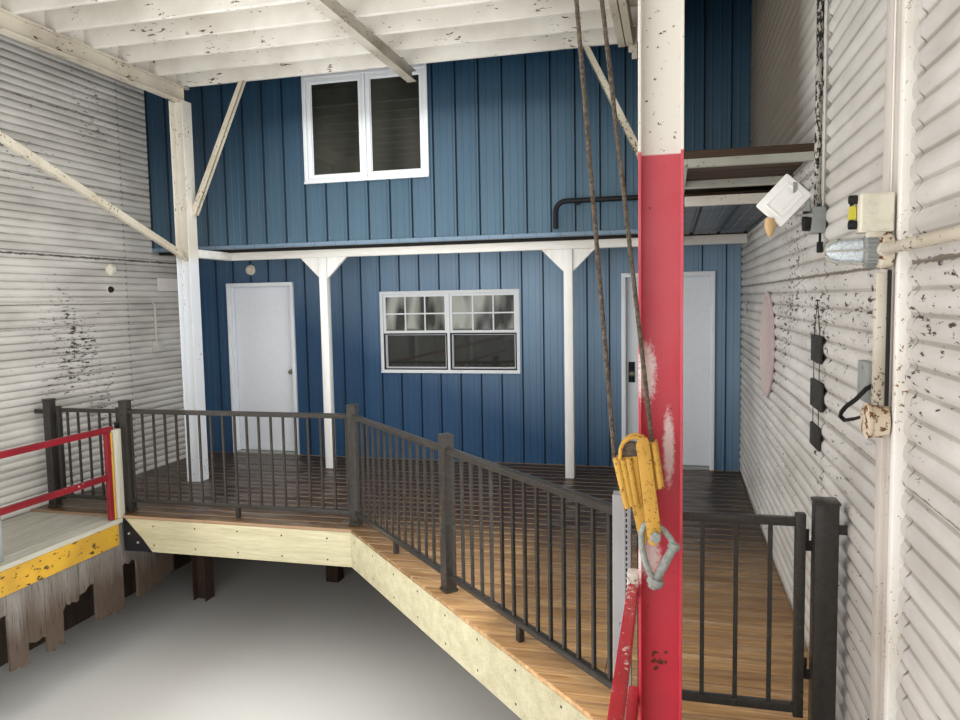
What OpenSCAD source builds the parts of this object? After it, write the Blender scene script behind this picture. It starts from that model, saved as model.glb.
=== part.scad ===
// Boathouse over a boat slip, with a two-storey cabin behind a railed deck.
// Millimetres. Z is up from the water level, Y runs from the open front to the cabin.

/* [Shell] */
// Length from the open front edge to the outer face of the back wall
building_l = 17250; // [16000:10:20000]
// Clear width between the side walls
inner_w = 6320; // [6200:10:7000]
// Thickness of the sheet-clad walls
wall_t = 140; // [120:5:180]
// Height of the wall tops above the water, at their outer faces
eaves_z = 6180; // [6000:10:6800]
// Rise of the roof from the eaves to the ridge
roof_rise = 830; // [600:10:1300]
// Vertical thickness of the roof slopes
roof_t = 110; // [80:5:200]
// Roof overhang past the side walls
eave_overhang = 250; // [100:10:400]
// Roof overhang past the front and back
gable_overhang = 300; // [100:10:450]
// Width of each wing of the ridge cap
ridge_wing = 220; // [150:10:300]
// Thickness of the ridge cap
ridge_t = 12; // [8:1:20]
// Height of the walls' lower edge above the water
wall_base_z = 950; // [850:10:1000]
// Depth of the wall columns, inside the side walls
column_t = 30; // [25:5:60]
// Width of the wall columns
column_w = 210; // [150:10:260]
// Distance that the wall columns stand in front of the steel frames
column_shift = 165; // [0:5:200]

/* [Deck] */
// Height of the deck surface above the water
deck_z = 1280; // [1250:10:1400]
// Thickness of the deck boards
deck_board_t = 28; // [22:1:38]
// Reach of the deck's left part in front of the upper front wall
deck_reach = 1840; // [1700:5:2000]
// Reach of the deck beside the right wall
deck_gate_reach = 4130; // [4000:5:4250]
// Distance from the left wall to where the front edge turns into the diagonal
deck_knee = 3140; // [3000:5:3250]
// Distance from the right walkway's edge to where the diagonal ends
deck_corner = 150; // [130:5:200]
// Depth of the fascia boards
fascia_h = 285; // [235:5:300]
// Thickness of the fascia boards and joists
joist_t = 38; // [35:1:50]
// Depth of the deck joists
deck_joist_h = 235; // [200:5:260]
// Spacing of the deck joists
deck_joist_step = 590; // [560:5:620]
// Length of the steel corner plate on the fascia
corner_plate_l = 280; // [250:5:320]
// Thickness of the steel corner plate
corner_plate_t = 8; // [5:1:12]

/* [Walkways] */
// Width of the left walkway
left_walkway_w = 990; // [970:5:1010]
// Width of the right walkway
right_walkway_w = 860; // [850:2:880]
// Step down from the deck to the walkways
walkway_drop = 20; // [10:1:30]
// Thickness of the walkway surface
walkway_t = 40; // [30:1:50]
// Height of the edge beams
edge_beam_h = 185; // [140:5:235]
// Thickness of the edge beams
edge_beam_t = 38; // [32:1:40]
// Thickness of the old vertical planks behind the edge beams
plank_t = 25; // [18:1:26]
// Width of one old vertical plank
plank_w = 170; // [140:5:200]
// Mean reach of the old planks below the edge beams
plank_reach = 250; // [200:10:300]
// Mean height of the worn slant at a plank's lower end
plank_wear = 60; // [40:5:80]
// How far the old planks run on under the deck
plank_run_in = 860; // [600:10:1000]

/* [Cabin] */
// Depth of the upper storey, from its front face to the back wall's outer face
cabin_d = 4620; // [4400:10:5200]
// How far the lower front wall stands back from the upper one
porch_d = 790; // [700:10:900]
// Height from the deck to the upper floor's surface
storey_h = 2620; // [2600:10:2800]
// Thickness of the upper floor
upper_floor_t = 225; // [180:5:240]
// Thickness of the lower floor
lower_floor_t = 260; // [200:5:280]
// Height of the porch header
header_h = 85; // [70:5:140]
// Width of the porch header, ties and posts
header_w = 89; // [80:1:100]
// Distance from the upper front wall's face to the header's front face
header_back = 175; // [150:5:200]
// Distance from the left wall to the left porch post's middle
porch_left = 1985; // [1900:5:2050]
// Distance from the right wall to the right porch post's middle
porch_right = 1680; // [1640:5:1720]
// Reach of the gussets at the porch posts
gusset = 225; // [150:5:300]
// Thickness of the gussets
gusset_t = 40; // [25:1:60]

/* [Doors] */
// Distance from the left wall to the left door's middle
left_door_in = 850; // [800:5:900]
// Width of the left door with its frame
left_door_w = 889; // [860:1:920]
// Distance from the right wall to the right door's middle
right_door_in = 725; // [700:5:760]
// Width of the right door with its frame
right_door_w = 950; // [900:1:980]
// Height of the doors with their frames
door_h = 2075; // [2030:5:2150]
// Thickness of the door leaves
leaf_t = 44; // [35:1:50]
// Thickness of the door frames
jamb_t = 32; // [25:1:40]
// Height of the door thresholds
sill_h = 20; // [12:1:30]
// Clearance around the leaves
leaf_gap = 5; // [5:1:8]
// Height of the door knobs above the deck
knob_h = 1000; // [950:10:1050]
// Distance of the knobs from the leaves' edges
knob_in = 65; // [60:1:75]
// Radius of the door knobs
knob_r = 26; // [22:1:30]
// Width that the door stops stand proud of the jambs
stop_w = 12; // [8:1:16]

/* [Windows] */
// X of the lower front window's middle
low_win_x = 42; // [0:2:100]
// Width of the lower windows
low_win_w = 1638; // [1400:2:1700]
// Height of the lower windows
low_win_h = 934; // [800:2:1100]
// Distance from the doors' heads down to the lower windows' heads
low_win_drop = 138; // [100:1:200]
// X of the upper front window's middle
high_win_x = -575; // [-700:5:0]
// Width of the upper windows
high_win_w = 1370; // [1100:5:1600]
// Height of the upper windows
high_win_h = 1114; // [900:2:1200]
// Height of the upper sills above the deck
high_win_sill = 3066; // [3000:2:3150]
// Width of the windows in the side walls
side_win_w = 900; // [700:10:1200]
// Width of the window frames' members
win_bar = 55; // [40:1:70]
// Depth of the window frames
win_d = 90; // [70:1:110]
// Thickness of the glass
glass_t = 6; // [4:1:10]

/* [Steel frame] */
// Spacing of the steel frames
bay = 3980; // [3900:10:4020]
// Distance from the upper front wall back to the rear frame
rear_frame_back = 550; // [500:10:600]
// Distance from the left walkway's edge back to the left posts' middle
left_post_back = 150; // [146:2:200]
// Distance from the right wall to the right posts' middle
right_post_in = 718; // [700:2:718]
// Depth and flange width of the steel posts
post_w = 152; // [140:2:156]
// Thickness of the posts' flanges
post_tf = 10; // [7:1:14]
// Thickness of the posts' webs
post_tw = 8; // [6:1:12]
// Height from the deck to the bottom of the side beams
beam_clear = 3860; // [3780:5:3950]
// Depth of the side beams
beam_h = 150; // [130:5:260]
// Flange width of the side beams
beam_b = 102; // [90:2:130]
// Distance of the middle hanging beam from the centre line
mid_beam_x = 70; // [0:5:140]
// Depth of the middle hanging beam
mid_beam_h = 105; // [90:5:140]
// Flange width of the middle hanging beam
mid_beam_b = 90; // [76:2:110]
// Distance that the middle beam runs past the rear frame
mid_beam_past = 220; // [150:5:300]
// Distance from the right posts' middle to the lift beam's middle
lift_beam_in = 332; // [300:2:360]
// Width of the lift beam
lift_beam_w = 120; // [100:5:150]
// Depth of the lift beam
lift_beam_h = 150; // [120:5:200]
// Distance that the lift beam stops short of the rear frame
lift_beam_short = 330; // [250:5:400]
// Depth of the loft joists above the slip
loft_joist_h = 184; // [140:2:235]
// Spacing of the loft joists above the slip
loft_joist_step = 406; // [380:2:450]
// Thickness of the loft boards
loft_board_t = 22; // [18:1:30]
// Distance that the loft joists run past the side beams' flanges
joist_past = 20; // [10:5:50]
// Thickness of the knee and bay braces
brace_t = 45; // [30:1:60]
// Width of the knee braces along the joists
knee_w = 114; // [60:2:140]
// Width of the knee braces' feet
knee_toe = 44; // [20:2:60]
// Height of the knee braces' feet above the deck
knee_foot = 2730; // [2500:10:2900]
// Reach of the knee braces along the joists
knee_reach = 536; // [450:2:650]
// Upright depth of the bay braces
bay_brace_w = 88; // [60:2:120]
// Height of the bay braces' feet above the deck
bay_brace_foot = 2266; // [2200:2:2500]
// Distance from the side beams down to the bay braces' tops
bay_brace_top = 50; // [20:5:150]

/* [Right balcony] */
// Reach of the balcony in front of the upper front wall
balcony_reach = 3245; // [3000:5:3300]
// Height from the deck to the balcony's surface
balcony_h = 2560; // [2500:5:2680]
// Thickness of the balcony planks
balcony_board_t = 40; // [30:1:50]
// Depth of the balcony's joists and rim
balcony_joist_h = 43; // [35:1:90]
// Spacing of the balcony's joists
balcony_joist_step = 755; // [600:5:950]
// Reach of the ribbed soffit under the balcony
soffit_reach = 2275; // [1400:5:2300]
// Depth of the soffit with its battens
soffit_t = 84; // [40:1:100]
// Radius of the bent pipe rail
pipe_rail_r = 25; // [15:1:28]
// X of the pipe rail's bent end
pipe_rail_x = 1400; // [1200:10:1600]
// Height of the pipe rail above the deck
pipe_rail_h = 2745; // [2700:5:2900]
// Length of the pipe rail's bent end
pipe_rail_drop = 260; // [200:10:320]
// Distance of the pipe rail from the upper front wall
pipe_rail_out = 80; // [60:5:100]

/* [Railings] */
// Height of the railing posts
rail_post_h = 985; // [950:5:1050]
// Width of the railing posts
rail_post_w = 76; // [64:1:80]
// Height of the handrail's top
handrail_h = 920; // [900:5:940]
// Width of the handrail
handrail_w = 50; // [38:1:60]
// Height of the handrail section
handrail_t = 40; // [30:1:50]
// Height of the bottom rail's underside above the deck
bottom_rail_z = 85; // [60:5:110]
// Side of the bottom rail
bottom_rail_t = 35; // [30:1:45]
// Side of the square balusters
baluster_w = 18; // [14:1:22]
// Spacing of the balusters
baluster_step = 114; // [100:2:125]
// Width of the gate stiles
stile_w = 40; // [36:1:44]
// Gap between a gate and its posts
gate_gap = 25; // [20:1:30]
// Radius of the hinge barrels
barrel_r = 7; // [6:0.5:7.5]
// Length of one hinge barrel half
barrel_l = 45; // [35:1:60]
// Height of the red rails' top line above the walkways
red_rail_h = 810; // [760:5:840]
// Height of the lower red rails' top above the walkways
red_rail_low = 400; // [360:5:440]
// Depth of the red rails
red_rail_d = 50; // [40:1:60]
// Thickness of the red rails
red_rail_t = 40; // [30:1:45]
// Width of the square rail posts
rail_end_w = 89; // [70:1:100]
// Distance from the second steel frame to the grey rail post
grey_post_y = 1500; // [1300:10:1700]

/* [Lift tackle] */
// Radius of the lift cables
cable_r = 8; // [6:0.5:10]
// Spacing of the cables at the lift beam
cable_top_gap = 50; // [40:2:60]
// Spacing of the cables at the sheave block
cable_low_gap = 128; // [110:2:140]
// Height of the sheave block's top above the deck
block_h = 1329; // [1250:1:1400]
// Distance from the posts' inner faces to the middle of the cables
block_in = 20; // [10:1:40]
// Distance of the cables in front of the red post
cable_out = 60; // [50:1:90]
// Height of the sheave block's housing
housing_h = 250; // [220:5:280]
// Thickness of the sheave block, front to back
housing_t = 80; // [60:2:90]
// Thickness of the straps under the housing
strap_t = 12; // [8:1:16]
// Radius of the bolt that carries the shackle
bolt_r = 10; // [8:1:12]
// Inner radius of the shackle
shackle_r = 48; // [40:1:60]
// Radius of the shackle's bar
shackle_bar_r = 12; // [9:1:14]

/* [Wall fittings] */
// Height of the cream switch box's foot above the deck
cream_box_h = 2005; // [1950:5:2100]
// Height of the jar light's middle above the deck
jar_h = 1940; // [1880:5:1980]
// Radius of the jar light
jar_r = 58; // [45:1:65]
// Reach of the jar light
jar_reach = 190; // [150:5:220]
// Height of the round junction box's middle above the deck
round_box_h = 1420; // [1380:5:1460]
// Radius of the round junction box
round_box_r = 52; // [40:1:60]
// Height of the small wall box's foot above the deck
small_box_h = 1440; // [1400:5:1500]
// Distance from the right wall column's middle to the square junction box
box_in = 1205; // [950:5:1300]
// Height of the square junction box's foot above the deck
box_h = 2100; // [2050:5:2150]
// Width and height of the square junction box
box_w = 118; // [100:2:140]
// Depth of the square junction box
box_d = 60; // [45:1:80]
// Distance of the floodlight's middle from the right wall
flood_in = 185; // [160:5:220]
// Height of the floodlight's middle above the deck
flood_h = 2250; // [2200:5:2300]
// Long side of the floodlight's head
flood_w = 194; // [160:2:210]
// Short side of the floodlight's head
flood_d = 151; // [120:1:170]
// Turn of the floodlight's head
flood_turn = 47; // [30:1:50]
// Radius of the thin conduits
conduit_r = 13; // [9:1:16]
// Height of the left wall's conduit above the deck
left_conduit_h = 1865; // [1800:5:1950]

/* [Hidden] */
$fn = 32;
seat = 0.3;
eps = 1;
plate_t = 6;
fitting_t = 30;
bar_w = 40;
inner_x = inner_w / 2;
outer_x = inner_x + wall_t;
back_y = building_l / 2;
front_y = -back_y;
cabin_y = back_y - cabin_d;
porch_y = cabin_y + porch_d;
room_back_y = back_y - wall_t;
slope = roof_rise / outer_x;
ridge_z = eaves_z + roof_rise;
floor2_z = deck_z + storey_h;
floor2_bottom = floor2_z - upper_floor_t;
header_top = floor2_bottom;
header_z = header_top - header_h;
header_y = cabin_y + header_back;
upper_wall_lift = 25;
upper_wall_z = floor2_bottom + upper_wall_lift;
low_sill_z = deck_z + door_h - low_win_drop - low_win_h;
high_sill_z = deck_z + high_win_sill;
side_win_y = cabin_y + cabin_d * 0.55;
rear_frame_y = cabin_y - rear_frame_back;
frames = floor((rear_frame_y - post_w / 2 - front_y) / bay) + 1;
left_edge_x = -inner_x + left_walkway_w;
right_edge_x = inner_x - right_walkway_w;
left_post_x = left_edge_x - left_post_back;
right_post_x = inner_x - right_post_in;
lift_beam_x = right_post_x - lift_beam_in;
deck_front_y = cabin_y - deck_reach;
deck_gate_y = cabin_y - deck_gate_reach;
deck_knee_x = -inner_x + deck_knee;
deck_corner_x = right_edge_x - deck_corner;
deck_turn = atan2(deck_front_y - deck_gate_y, deck_corner_x - deck_knee_x);
porch_left_x = -inner_x + porch_left;
porch_right_x = inner_x - porch_right;
left_door_x = -inner_x + left_door_in;
right_door_x = inner_x - right_door_in;
balcony_y = cabin_y - balcony_reach;
soffit_y = cabin_y - soffit_reach;
beam_z = deck_z + beam_clear;
loft_z = beam_z + beam_h;
loft_top = loft_z + loft_joist_h;
loft_x0 = left_post_x - beam_b / 2 - joist_past;
loft_x1 = right_post_x + beam_b / 2 + joist_past;
loft_y1 = rear_frame_y + beam_b / 2;
beam_past = 20;
walkway_z = deck_z - walkway_drop;
edge_beam_short = 60;
edge_top = walkway_z - walkway_t;
board_bottom = deck_z - deck_board_t;
post_clear = 6;
beam_tf = 10;
beam_tw = 8;
front_inner_y = front_y + wall_t;
rail_set = 130;
gate_set = 50;
rail_line_y = deck_front_y + rail_set;
gate_line_y = deck_gate_y + gate_set;
hinge_post_w = rail_post_w + 13;
cap_past = 4;
cap_t = 14;
bracket_z = deck_z + 860;
p1 = [-inner_x + 150, rail_line_y];
p2 = [left_edge_x - 30, rail_line_y];
p3 = [deck_knee_x - 10, rail_line_y];
p5 = [deck_corner_x + 125, gate_line_y];
p4 = (p3 + p5) / 2;
p6 = [inner_x - 80, gate_line_y];
rail_angle = atan2(p5[1] - p3[1], p5[0] - p3[0]);
hinge_plate_t = 3;
hinge_off = barrel_r + 1;
hinge_reach = 35;
hinge_in = 150;
leaf_bottom = deck_z + sill_h + leaf_gap;
leaf_top = deck_z + door_h - jamb_t - leaf_gap;
left_hinge_x = left_door_x - left_door_w / 2 + jamb_t + leaf_gap / 2;
right_hinge_x = right_door_x + right_door_w / 2 - jamb_t - leaf_gap / 2;
door_axis_y = porch_y + wall_t + hinge_off;
left_gate_x = p1[0] + rail_post_w / 2 + gate_gap / 2;
right_gate_x = p6[0] - hinge_post_w / 2 - gate_gap / 2;
left_gate_axis_y = p1[1] + rail_post_w / 2 + hinge_off;
right_gate_axis_y = p6[1] + hinge_post_w / 2 + hinge_off;
gate_bottom = deck_z + bottom_rail_z - baluster_w;
gate_top = deck_z + handrail_h + 10;
left_rail_x = left_post_x + post_w / 2;
right_rail_x = right_post_x - post_w / 2;
rail_end_y = deck_front_y - rail_end_w;
rail_levels = [red_rail_h, red_rail_low];
balcony_x = right_post_x + post_w / 2;
balcony_z = deck_z + balcony_h;
balcony_joist_z = balcony_z - balcony_board_t - balcony_joist_h;
hanger_w = 48;
cable_y = rear_frame_y - bay - post_w / 2 - cable_out;
block_x = right_rail_x - block_in;
block_z = deck_z + block_h;
bolt_x = block_x + cable_low_gap / 2;
bolt_z = block_z - 1.38 * housing_h;
column_y = rear_frame_y - bay - column_shift;
column_x = inner_x - column_t;
fitting_y = column_y - 25;
box_y = column_y + box_in;

function frame_y(i) = rear_frame_y - i * bay;
function roof_under(x) = ridge_z - slope * abs(x);
// Heights of the two hinges on a leaf or gate between z0 and z1
function hinge_levels(z0, z1) = [z0 + hinge_in, z1 - hinge_in - 2 * barrel_l];
// Sideways shift of the deck edge's corners when the edge moves in by d
function corner_shift(d) = d * tan(deck_turn / 2);
// Wall columns stand a little in front of the frames, and the last at the front edge
function wall_column_y(i) = i == frames - 1 ? front_y + column_w / 2 : frame_y(i) - column_shift;
// How far one old plank reaches below the edge beam
function plank_drop(i) = plank_reach * (1 + 0.44 * sin(i * 137) + 0.24 * sin(i * 71 + 40));
// The worn lower end of the plank whose inner edge is at y
function plank_end(y, i) =
    let (low = edge_top - edge_beam_h - plank_drop(i), lift = plank_wear * (1 + 0.8 * sin(i * 97)))
    [[y, low + lift * 1.2], [y - plank_w * 0.3, low + lift * 0.6], [y - plank_w * 0.6, low],
        [y - plank_w + 2, low + lift]];

// A box given by its lowest and highest corners
module block(a, b) {
    translate(a) cube(b - a);
}

// An outline in X and Z, made solid between two Y values
module along_y(y0, y1) {
    translate([0, y1, 0]) rotate([90, 0, 0]) linear_extrude(y1 - y0) children();
}

// An outline in Y and Z, made solid between two X values
module along_x(x0, x1) {
    translate([x0, 0, 0]) rotate([90, 0, 90]) linear_extrude(x1 - x0) children();
}

// Outline of an H or I section, flanges at both ends of its depth
module h_section(depth, width, tf, tw) {
    difference() {
        square([depth, width], center = true);
        for (s = [-1, 1])
            translate([-(depth - 2 * tf) / 2, s > 0 ? tw / 2 : -width / 2 - eps])
                square([depth - 2 * tf, (width - tw) / 2 + eps]);
    }
}

module steel_post(x, y) {
    translate([x, y, 0]) linear_extrude(beam_z) h_section(post_w, post_w, post_tf, post_tw);
}

// A beam along Y with upright web, top face at z
module beam(x, z, y0, y1, depth, width) {
    along_y(y0, y1) translate([x, z - depth / 2]) rotate(90)
        h_section(depth, width, beam_tf, beam_tw);
}

// A side wall's cross-section with its top cut to the roof slope
module side_wall(y0, y1) {
    along_y(y0, y1) polygon([[inner_x, wall_base_z], [outer_x, wall_base_z], [outer_x, eaves_z],
        [inner_x, roof_under(inner_x)]]);
}

// A column that stands proud of a side wall's inner face, up to the roof or the front gable
module wall_column(y) {
    top = y - column_w / 2 < front_inner_y ? loft_z : roof_under(inner_x);
    block([inner_x - column_t, y - column_w / 2, walkway_z], [inner_x, y + column_w / 2, top]);
}

// The full-width end wall outline between the side walls, from z up to the roof
module end_wall(y0, y1, z) {
    along_y(y0, y1) polygon([[-inner_x, z], [inner_x, z], [inner_x, roof_under(inner_x)],
        [0, ridge_z], [-inner_x, roof_under(inner_x)]]);
}

module window_hole_y(x, w, z, h, y0, y1) {
    block([x - w / 2, y0 - eps, z], [x + w / 2, y1 + eps, z + h]);
}

module window_hole_x(y, w, z, h, x0, x1) {
    block([x0 - eps, y - w / 2, z], [x1 + eps, y + w / 2, z + h]);
}

module bulkhead() {
    color("dimgray") union() {
        for (s = [-1, 1])
            mirror([s < 0 ? 1 : 0, 0, 0]) block([inner_x, front_y, 0], [outer_x, back_y, wall_base_z]);
        block([-inner_x - eps, room_back_y, 0], [inner_x + eps, back_y, wall_base_z]);
    }
}

module left_wall() {
    color("gainsboro") mirror([1, 0, 0]) side_wall(front_y, cabin_y);
}

module right_wall() {
    color("gainsboro") side_wall(front_y, cabin_y);
}

module wall_columns() {
    color("gainsboro") for (s = [0, 1]) mirror([s, 0, 0])
        for (i = [1:frames - 1]) wall_column(wall_column_y(i));
}

module cabin_side_wall() {
    difference() {
        side_wall(cabin_y, back_y);
        window_hole_x(side_win_y, side_win_w, low_sill_z, low_win_h, inner_x, outer_x);
        window_hole_x(side_win_y, side_win_w, high_sill_z, high_win_h, inner_x, outer_x);
    }
}

module left_cabin_wall() {
    color("gainsboro") mirror([1, 0, 0]) cabin_side_wall();
}

module right_cabin_wall() {
    color("gainsboro") cabin_side_wall();
}

module back_wall() {
    color("steelblue") difference() {
        end_wall(room_back_y, back_y, wall_base_z);
        window_hole_y(0, low_win_w, low_sill_z, low_win_h, room_back_y, back_y);
        window_hole_y(0, high_win_w, high_sill_z, high_win_h, room_back_y, back_y);
    }
}

module front_gable() {
    color("gainsboro") end_wall(front_y, front_inner_y, loft_z);
}

module upper_front_wall() {
    color("steelblue") difference() {
        end_wall(cabin_y, cabin_y + wall_t, upper_wall_z);
        window_hole_y(high_win_x, high_win_w, high_sill_z, high_win_h, cabin_y, cabin_y + wall_t);
    }
}

module front_wall_part(x0, x1, z0, z1) {
    block([x0, porch_y, z0], [x1, porch_y + wall_t, z1]);
}

module front_wall_left() {
    color("steelblue") front_wall_part(-inner_x, left_door_x - left_door_w / 2, deck_z, deck_z + door_h);
}

module front_wall_middle() {
    color("steelblue") difference() {
        front_wall_part(left_door_x + left_door_w / 2, right_door_x - right_door_w / 2, deck_z,
            deck_z + door_h);
        window_hole_y(low_win_x, low_win_w, low_sill_z, low_win_h, porch_y, porch_y + wall_t);
    }
}

module front_wall_right() {
    color("steelblue") front_wall_part(right_door_x + right_door_w / 2, inner_x, deck_z, deck_z + door_h);
}

module front_wall_head() {
    color("steelblue") front_wall_part(-inner_x, inner_x, deck_z + door_h, floor2_bottom);
}

// One roof slope, right side, laid on the walls with a thin seat
module roof_slope() {
    eave_x = outer_x + eave_overhang;
    along_y(front_y - gable_overhang, back_y + gable_overhang)
        polygon([[0, ridge_z + seat], [eave_x, roof_under(eave_x) + seat],
            [eave_x, roof_under(eave_x) + roof_t], [0, ridge_z + roof_t]]);
}

module roof_left() {
    color("silver") mirror([1, 0, 0]) roof_slope();
}

module roof_right() {
    color("silver") roof_slope();
}

module ridge_cap() {
    top = ridge_z + roof_t;
    low = top - slope * ridge_wing;
    color("gray") along_y(front_y - gable_overhang, back_y + gable_overhang)
        polygon([[0, top + seat], [ridge_wing, low + seat], [ridge_wing, low + ridge_t],
            [0, top + ridge_t], [-ridge_wing, low + ridge_t], [-ridge_wing, low + seat]]);
}

module steel_posts() {
    color("white") {
        for (i = [0:frames - 1]) steel_post(left_post_x, frame_y(i));
        for (i = [0:frames - 1]) if (i != 1) steel_post(right_post_x, frame_y(i));
    }
}

module red_post() {
    color("crimson") steel_post(right_post_x, frame_y(1));
}

module side_beams() {
    color("white") for (x = [left_post_x, right_post_x])
        beam(x, loft_z, front_y + beam_past, rear_frame_y + post_w / 2 + beam_past, beam_h, beam_b);
}

module middle_beam() {
    color("ivory")
        beam(mid_beam_x, loft_z, front_inner_y, rear_frame_y + mid_beam_past, mid_beam_h, mid_beam_b);
}

module lift_beam() {
    color("cornsilk") block([lift_beam_x - lift_beam_w / 2, front_inner_y, loft_z - lift_beam_h],
        [lift_beam_x + lift_beam_w / 2, rear_frame_y - lift_beam_short, loft_z]);
}

module loft_joists() {
    count = floor((loft_y1 - joist_t - front_inner_y) / loft_joist_step);
    color("white") for (i = [0:count])
        block([loft_x0, loft_y1 - joist_t - i * loft_joist_step, loft_z],
            [loft_x1, loft_y1 - i * loft_joist_step, loft_top]);
}

module loft_boards() {
    color("white") block([loft_x0, front_inner_y, loft_top], [loft_x1, loft_y1, loft_top + loft_board_t]);
}

// A knee brace from a post's inner flange up to the loft joists, right side of x
module knee_brace(x) {
    foot = deck_z + knee_foot;
    rise = knee_reach * (loft_z - foot) / (knee_reach + knee_w - knee_toe);
    along_y(loft_y1 - brace_t, loft_y1)
        polygon([[x, foot], [x, loft_z - rise], [x + knee_reach, loft_z],
            [x + knee_reach + knee_w, loft_z], [x + knee_toe, foot]]);
}

// A bay brace from the rear post's web up to the next post's web, ending under the side beam
module bay_brace(x) {
    y0 = rear_frame_y - post_tw / 2;
    y1 = frame_y(1) + post_tw / 2;
    foot = deck_z + bay_brace_foot;
    top = beam_z - bay_brace_top;
    along_x(x - brace_t / 2, x + brace_t / 2)
        polygon([[y0, foot], [y0, foot + bay_brace_w], [y1, top], [y1, top - bay_brace_w]]);
}

module braces() {
    color("ivory") {
        knee_brace(left_post_x + post_w / 2);
        translate([2 * right_post_x, 0, 0]) mirror([1, 0, 0]) knee_brace(right_post_x + post_w / 2);
        bay_brace(left_post_x);
        bay_brace(right_post_x);
    }
}

// Square hole where a steel post passes through a floor
module post_hole(x, y) {
    hole = post_w + 2 * post_clear;
    translate([x - hole / 2, y - hole / 2, deck_z - lower_floor_t])
        cube([hole, hole, 2 * lower_floor_t]);
}

module walkways() {
    color("darkgray") difference() {
        union() {
            block([-inner_x, front_y, edge_top], [left_edge_x, deck_front_y, walkway_z]);
            block([right_edge_x, front_y, edge_top], [inner_x, deck_gate_y, walkway_z]);
        }
        for (x = [left_post_x, right_post_x]) for (i = [1:frames - 1]) post_hole(x, frame_y(i));
    }
}

module edge_beams() {
    color("gold") {
        block([left_edge_x - edge_beam_t, front_y, edge_top - edge_beam_h],
            [left_edge_x, deck_front_y - edge_beam_short, edge_top]);
        block([right_edge_x, front_y, edge_top - edge_beam_h],
            [right_edge_x + edge_beam_t, deck_gate_y - edge_beam_short, edge_top]);
    }
}

// A row of old planks with worn lower ends, starting at y1 and running towards the front
module plank_row(x, y1) {
    count = floor((y1 - front_y) / plank_w);
    ends = [for (i = [0:count - 1]) each plank_end(y1 - i * plank_w, i)];
    along_x(x, x + plank_t) polygon(concat([[y1 - count * plank_w, edge_top], [y1, edge_top]], ends));
}

module edge_planks() {
    color("tan") {
        plank_row(left_edge_x - edge_beam_t - plank_t, deck_front_y + plank_run_in);
        plank_row(right_edge_x + edge_beam_t, deck_gate_y + plank_run_in);
    }
}

// Plan outline of the deck in front of the cabin, with its front edges moved in by d
module deck_outline(d) {
    polygon([[-inner_x, deck_front_y + d], [deck_knee_x + corner_shift(d), deck_front_y + d],
        [deck_corner_x + corner_shift(d), deck_gate_y + d], [inner_x, deck_gate_y + d],
        [inner_x, porch_y], [-inner_x, porch_y]]);
}

module deck() {
    color("saddlebrown") difference() {
        translate([0, 0, board_bottom]) linear_extrude(deck_board_t) deck_outline(0);
        post_hole(left_post_x, frame_y(0));
        post_hole(right_post_x, frame_y(0));
    }
}

// One fascia board from outer corner a to outer corner b, mitred where a shift is given
module fascia_board(a, b, shift_a, shift_b) {
    translate([0, 0, board_bottom - fascia_h]) linear_extrude(fascia_h)
        polygon([a, b, b + [shift_b, joist_t], a + [shift_a, joist_t]]);
}

module deck_frame() {
    mitre = corner_shift(joist_t);
    knee = [deck_knee_x, deck_front_y];
    corner = [deck_corner_x, deck_gate_y];
    past_knee = seat * [cos(deck_turn), -sin(deck_turn)];
    count = floor((2 * inner_x - joist_t) / deck_joist_step);
    color("khaki") {
        fascia_board([left_edge_x, deck_front_y], knee, 0, mitre);
        fascia_board(knee + past_knee, corner, mitre, mitre);
        fascia_board(corner + [seat, 0], [right_edge_x, deck_gate_y], mitre, 0);
        for (i = [0:count]) translate([0, 0, board_bottom - deck_joist_h])
            linear_extrude(deck_joist_h) intersection() {
                deck_outline(joist_t + seat);
                translate([-inner_x + i * deck_joist_step, deck_gate_y])
                    square([joist_t, porch_y - deck_gate_y]);
            }
    }
}

module corner_plate() {
    low = board_bottom - fascia_h;
    color("black") along_y(deck_front_y - corner_plate_t, deck_front_y)
        polygon([[left_edge_x, low], [left_edge_x + corner_plate_l, low],
            [left_edge_x + corner_plate_l / 14, board_bottom], [left_edge_x, board_bottom]]);
}

module porch_header() {
    color("white") {
        block([left_post_x - header_w / 2, header_y, header_z],
            [inner_x, header_y + header_w, header_top]);
        for (x = [left_post_x, right_post_x])
            block([x - header_w / 2, rear_frame_y + post_w / 2, header_z],
                [x + header_w / 2, header_y, header_top]);
    }
}

// A timber post with gussets under the header, and the steel pile below it
module porch_post(x) {
    y = header_y + header_w / 2;
    block([x - header_w / 2, header_y, deck_z], [x + header_w / 2, header_y + header_w, header_z]);
    for (s = [0, 1]) translate([x, y + gusset_t / 2, header_z]) mirror([s, 0, 0])
        rotate([90, 0, 0]) linear_extrude(gusset_t)
            polygon([[header_w / 2, 0], [header_w / 2 + gusset, 0], [header_w / 2, -gusset]]);
    translate([x, y, 0]) linear_extrude(board_bottom) h_section(post_w, post_w, post_tf, post_tw);
}

module porch_posts() {
    color("white") for (x = [porch_left_x, porch_right_x]) porch_post(x);
}

module lower_floor() {
    color("burlywood") block([-inner_x, porch_y, deck_z - lower_floor_t], [inner_x, room_back_y, deck_z]);
}

module upper_floor() {
    color("burlywood") block([-inner_x, cabin_y + wall_t, floor2_bottom], [inner_x, room_back_y, floor2_z]);
}

// Outline of a window frame with a middle bar, w by h, corner at the origin
module frame_outline(w, h, middle) {
    difference() {
        square([w, h]);
        translate([win_bar, win_bar]) square([w - 2 * win_bar, h - 2 * win_bar]);
    }
    if (middle) translate([w / 2 - win_bar / 2, win_bar / 2]) square([win_bar, h - win_bar]);
}

module window_y(x, y, z, w, h) {
    translate([x - w / 2, y + win_d, z]) rotate([90, 0, 0]) linear_extrude(win_d)
        frame_outline(w, h, true);
}

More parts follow.
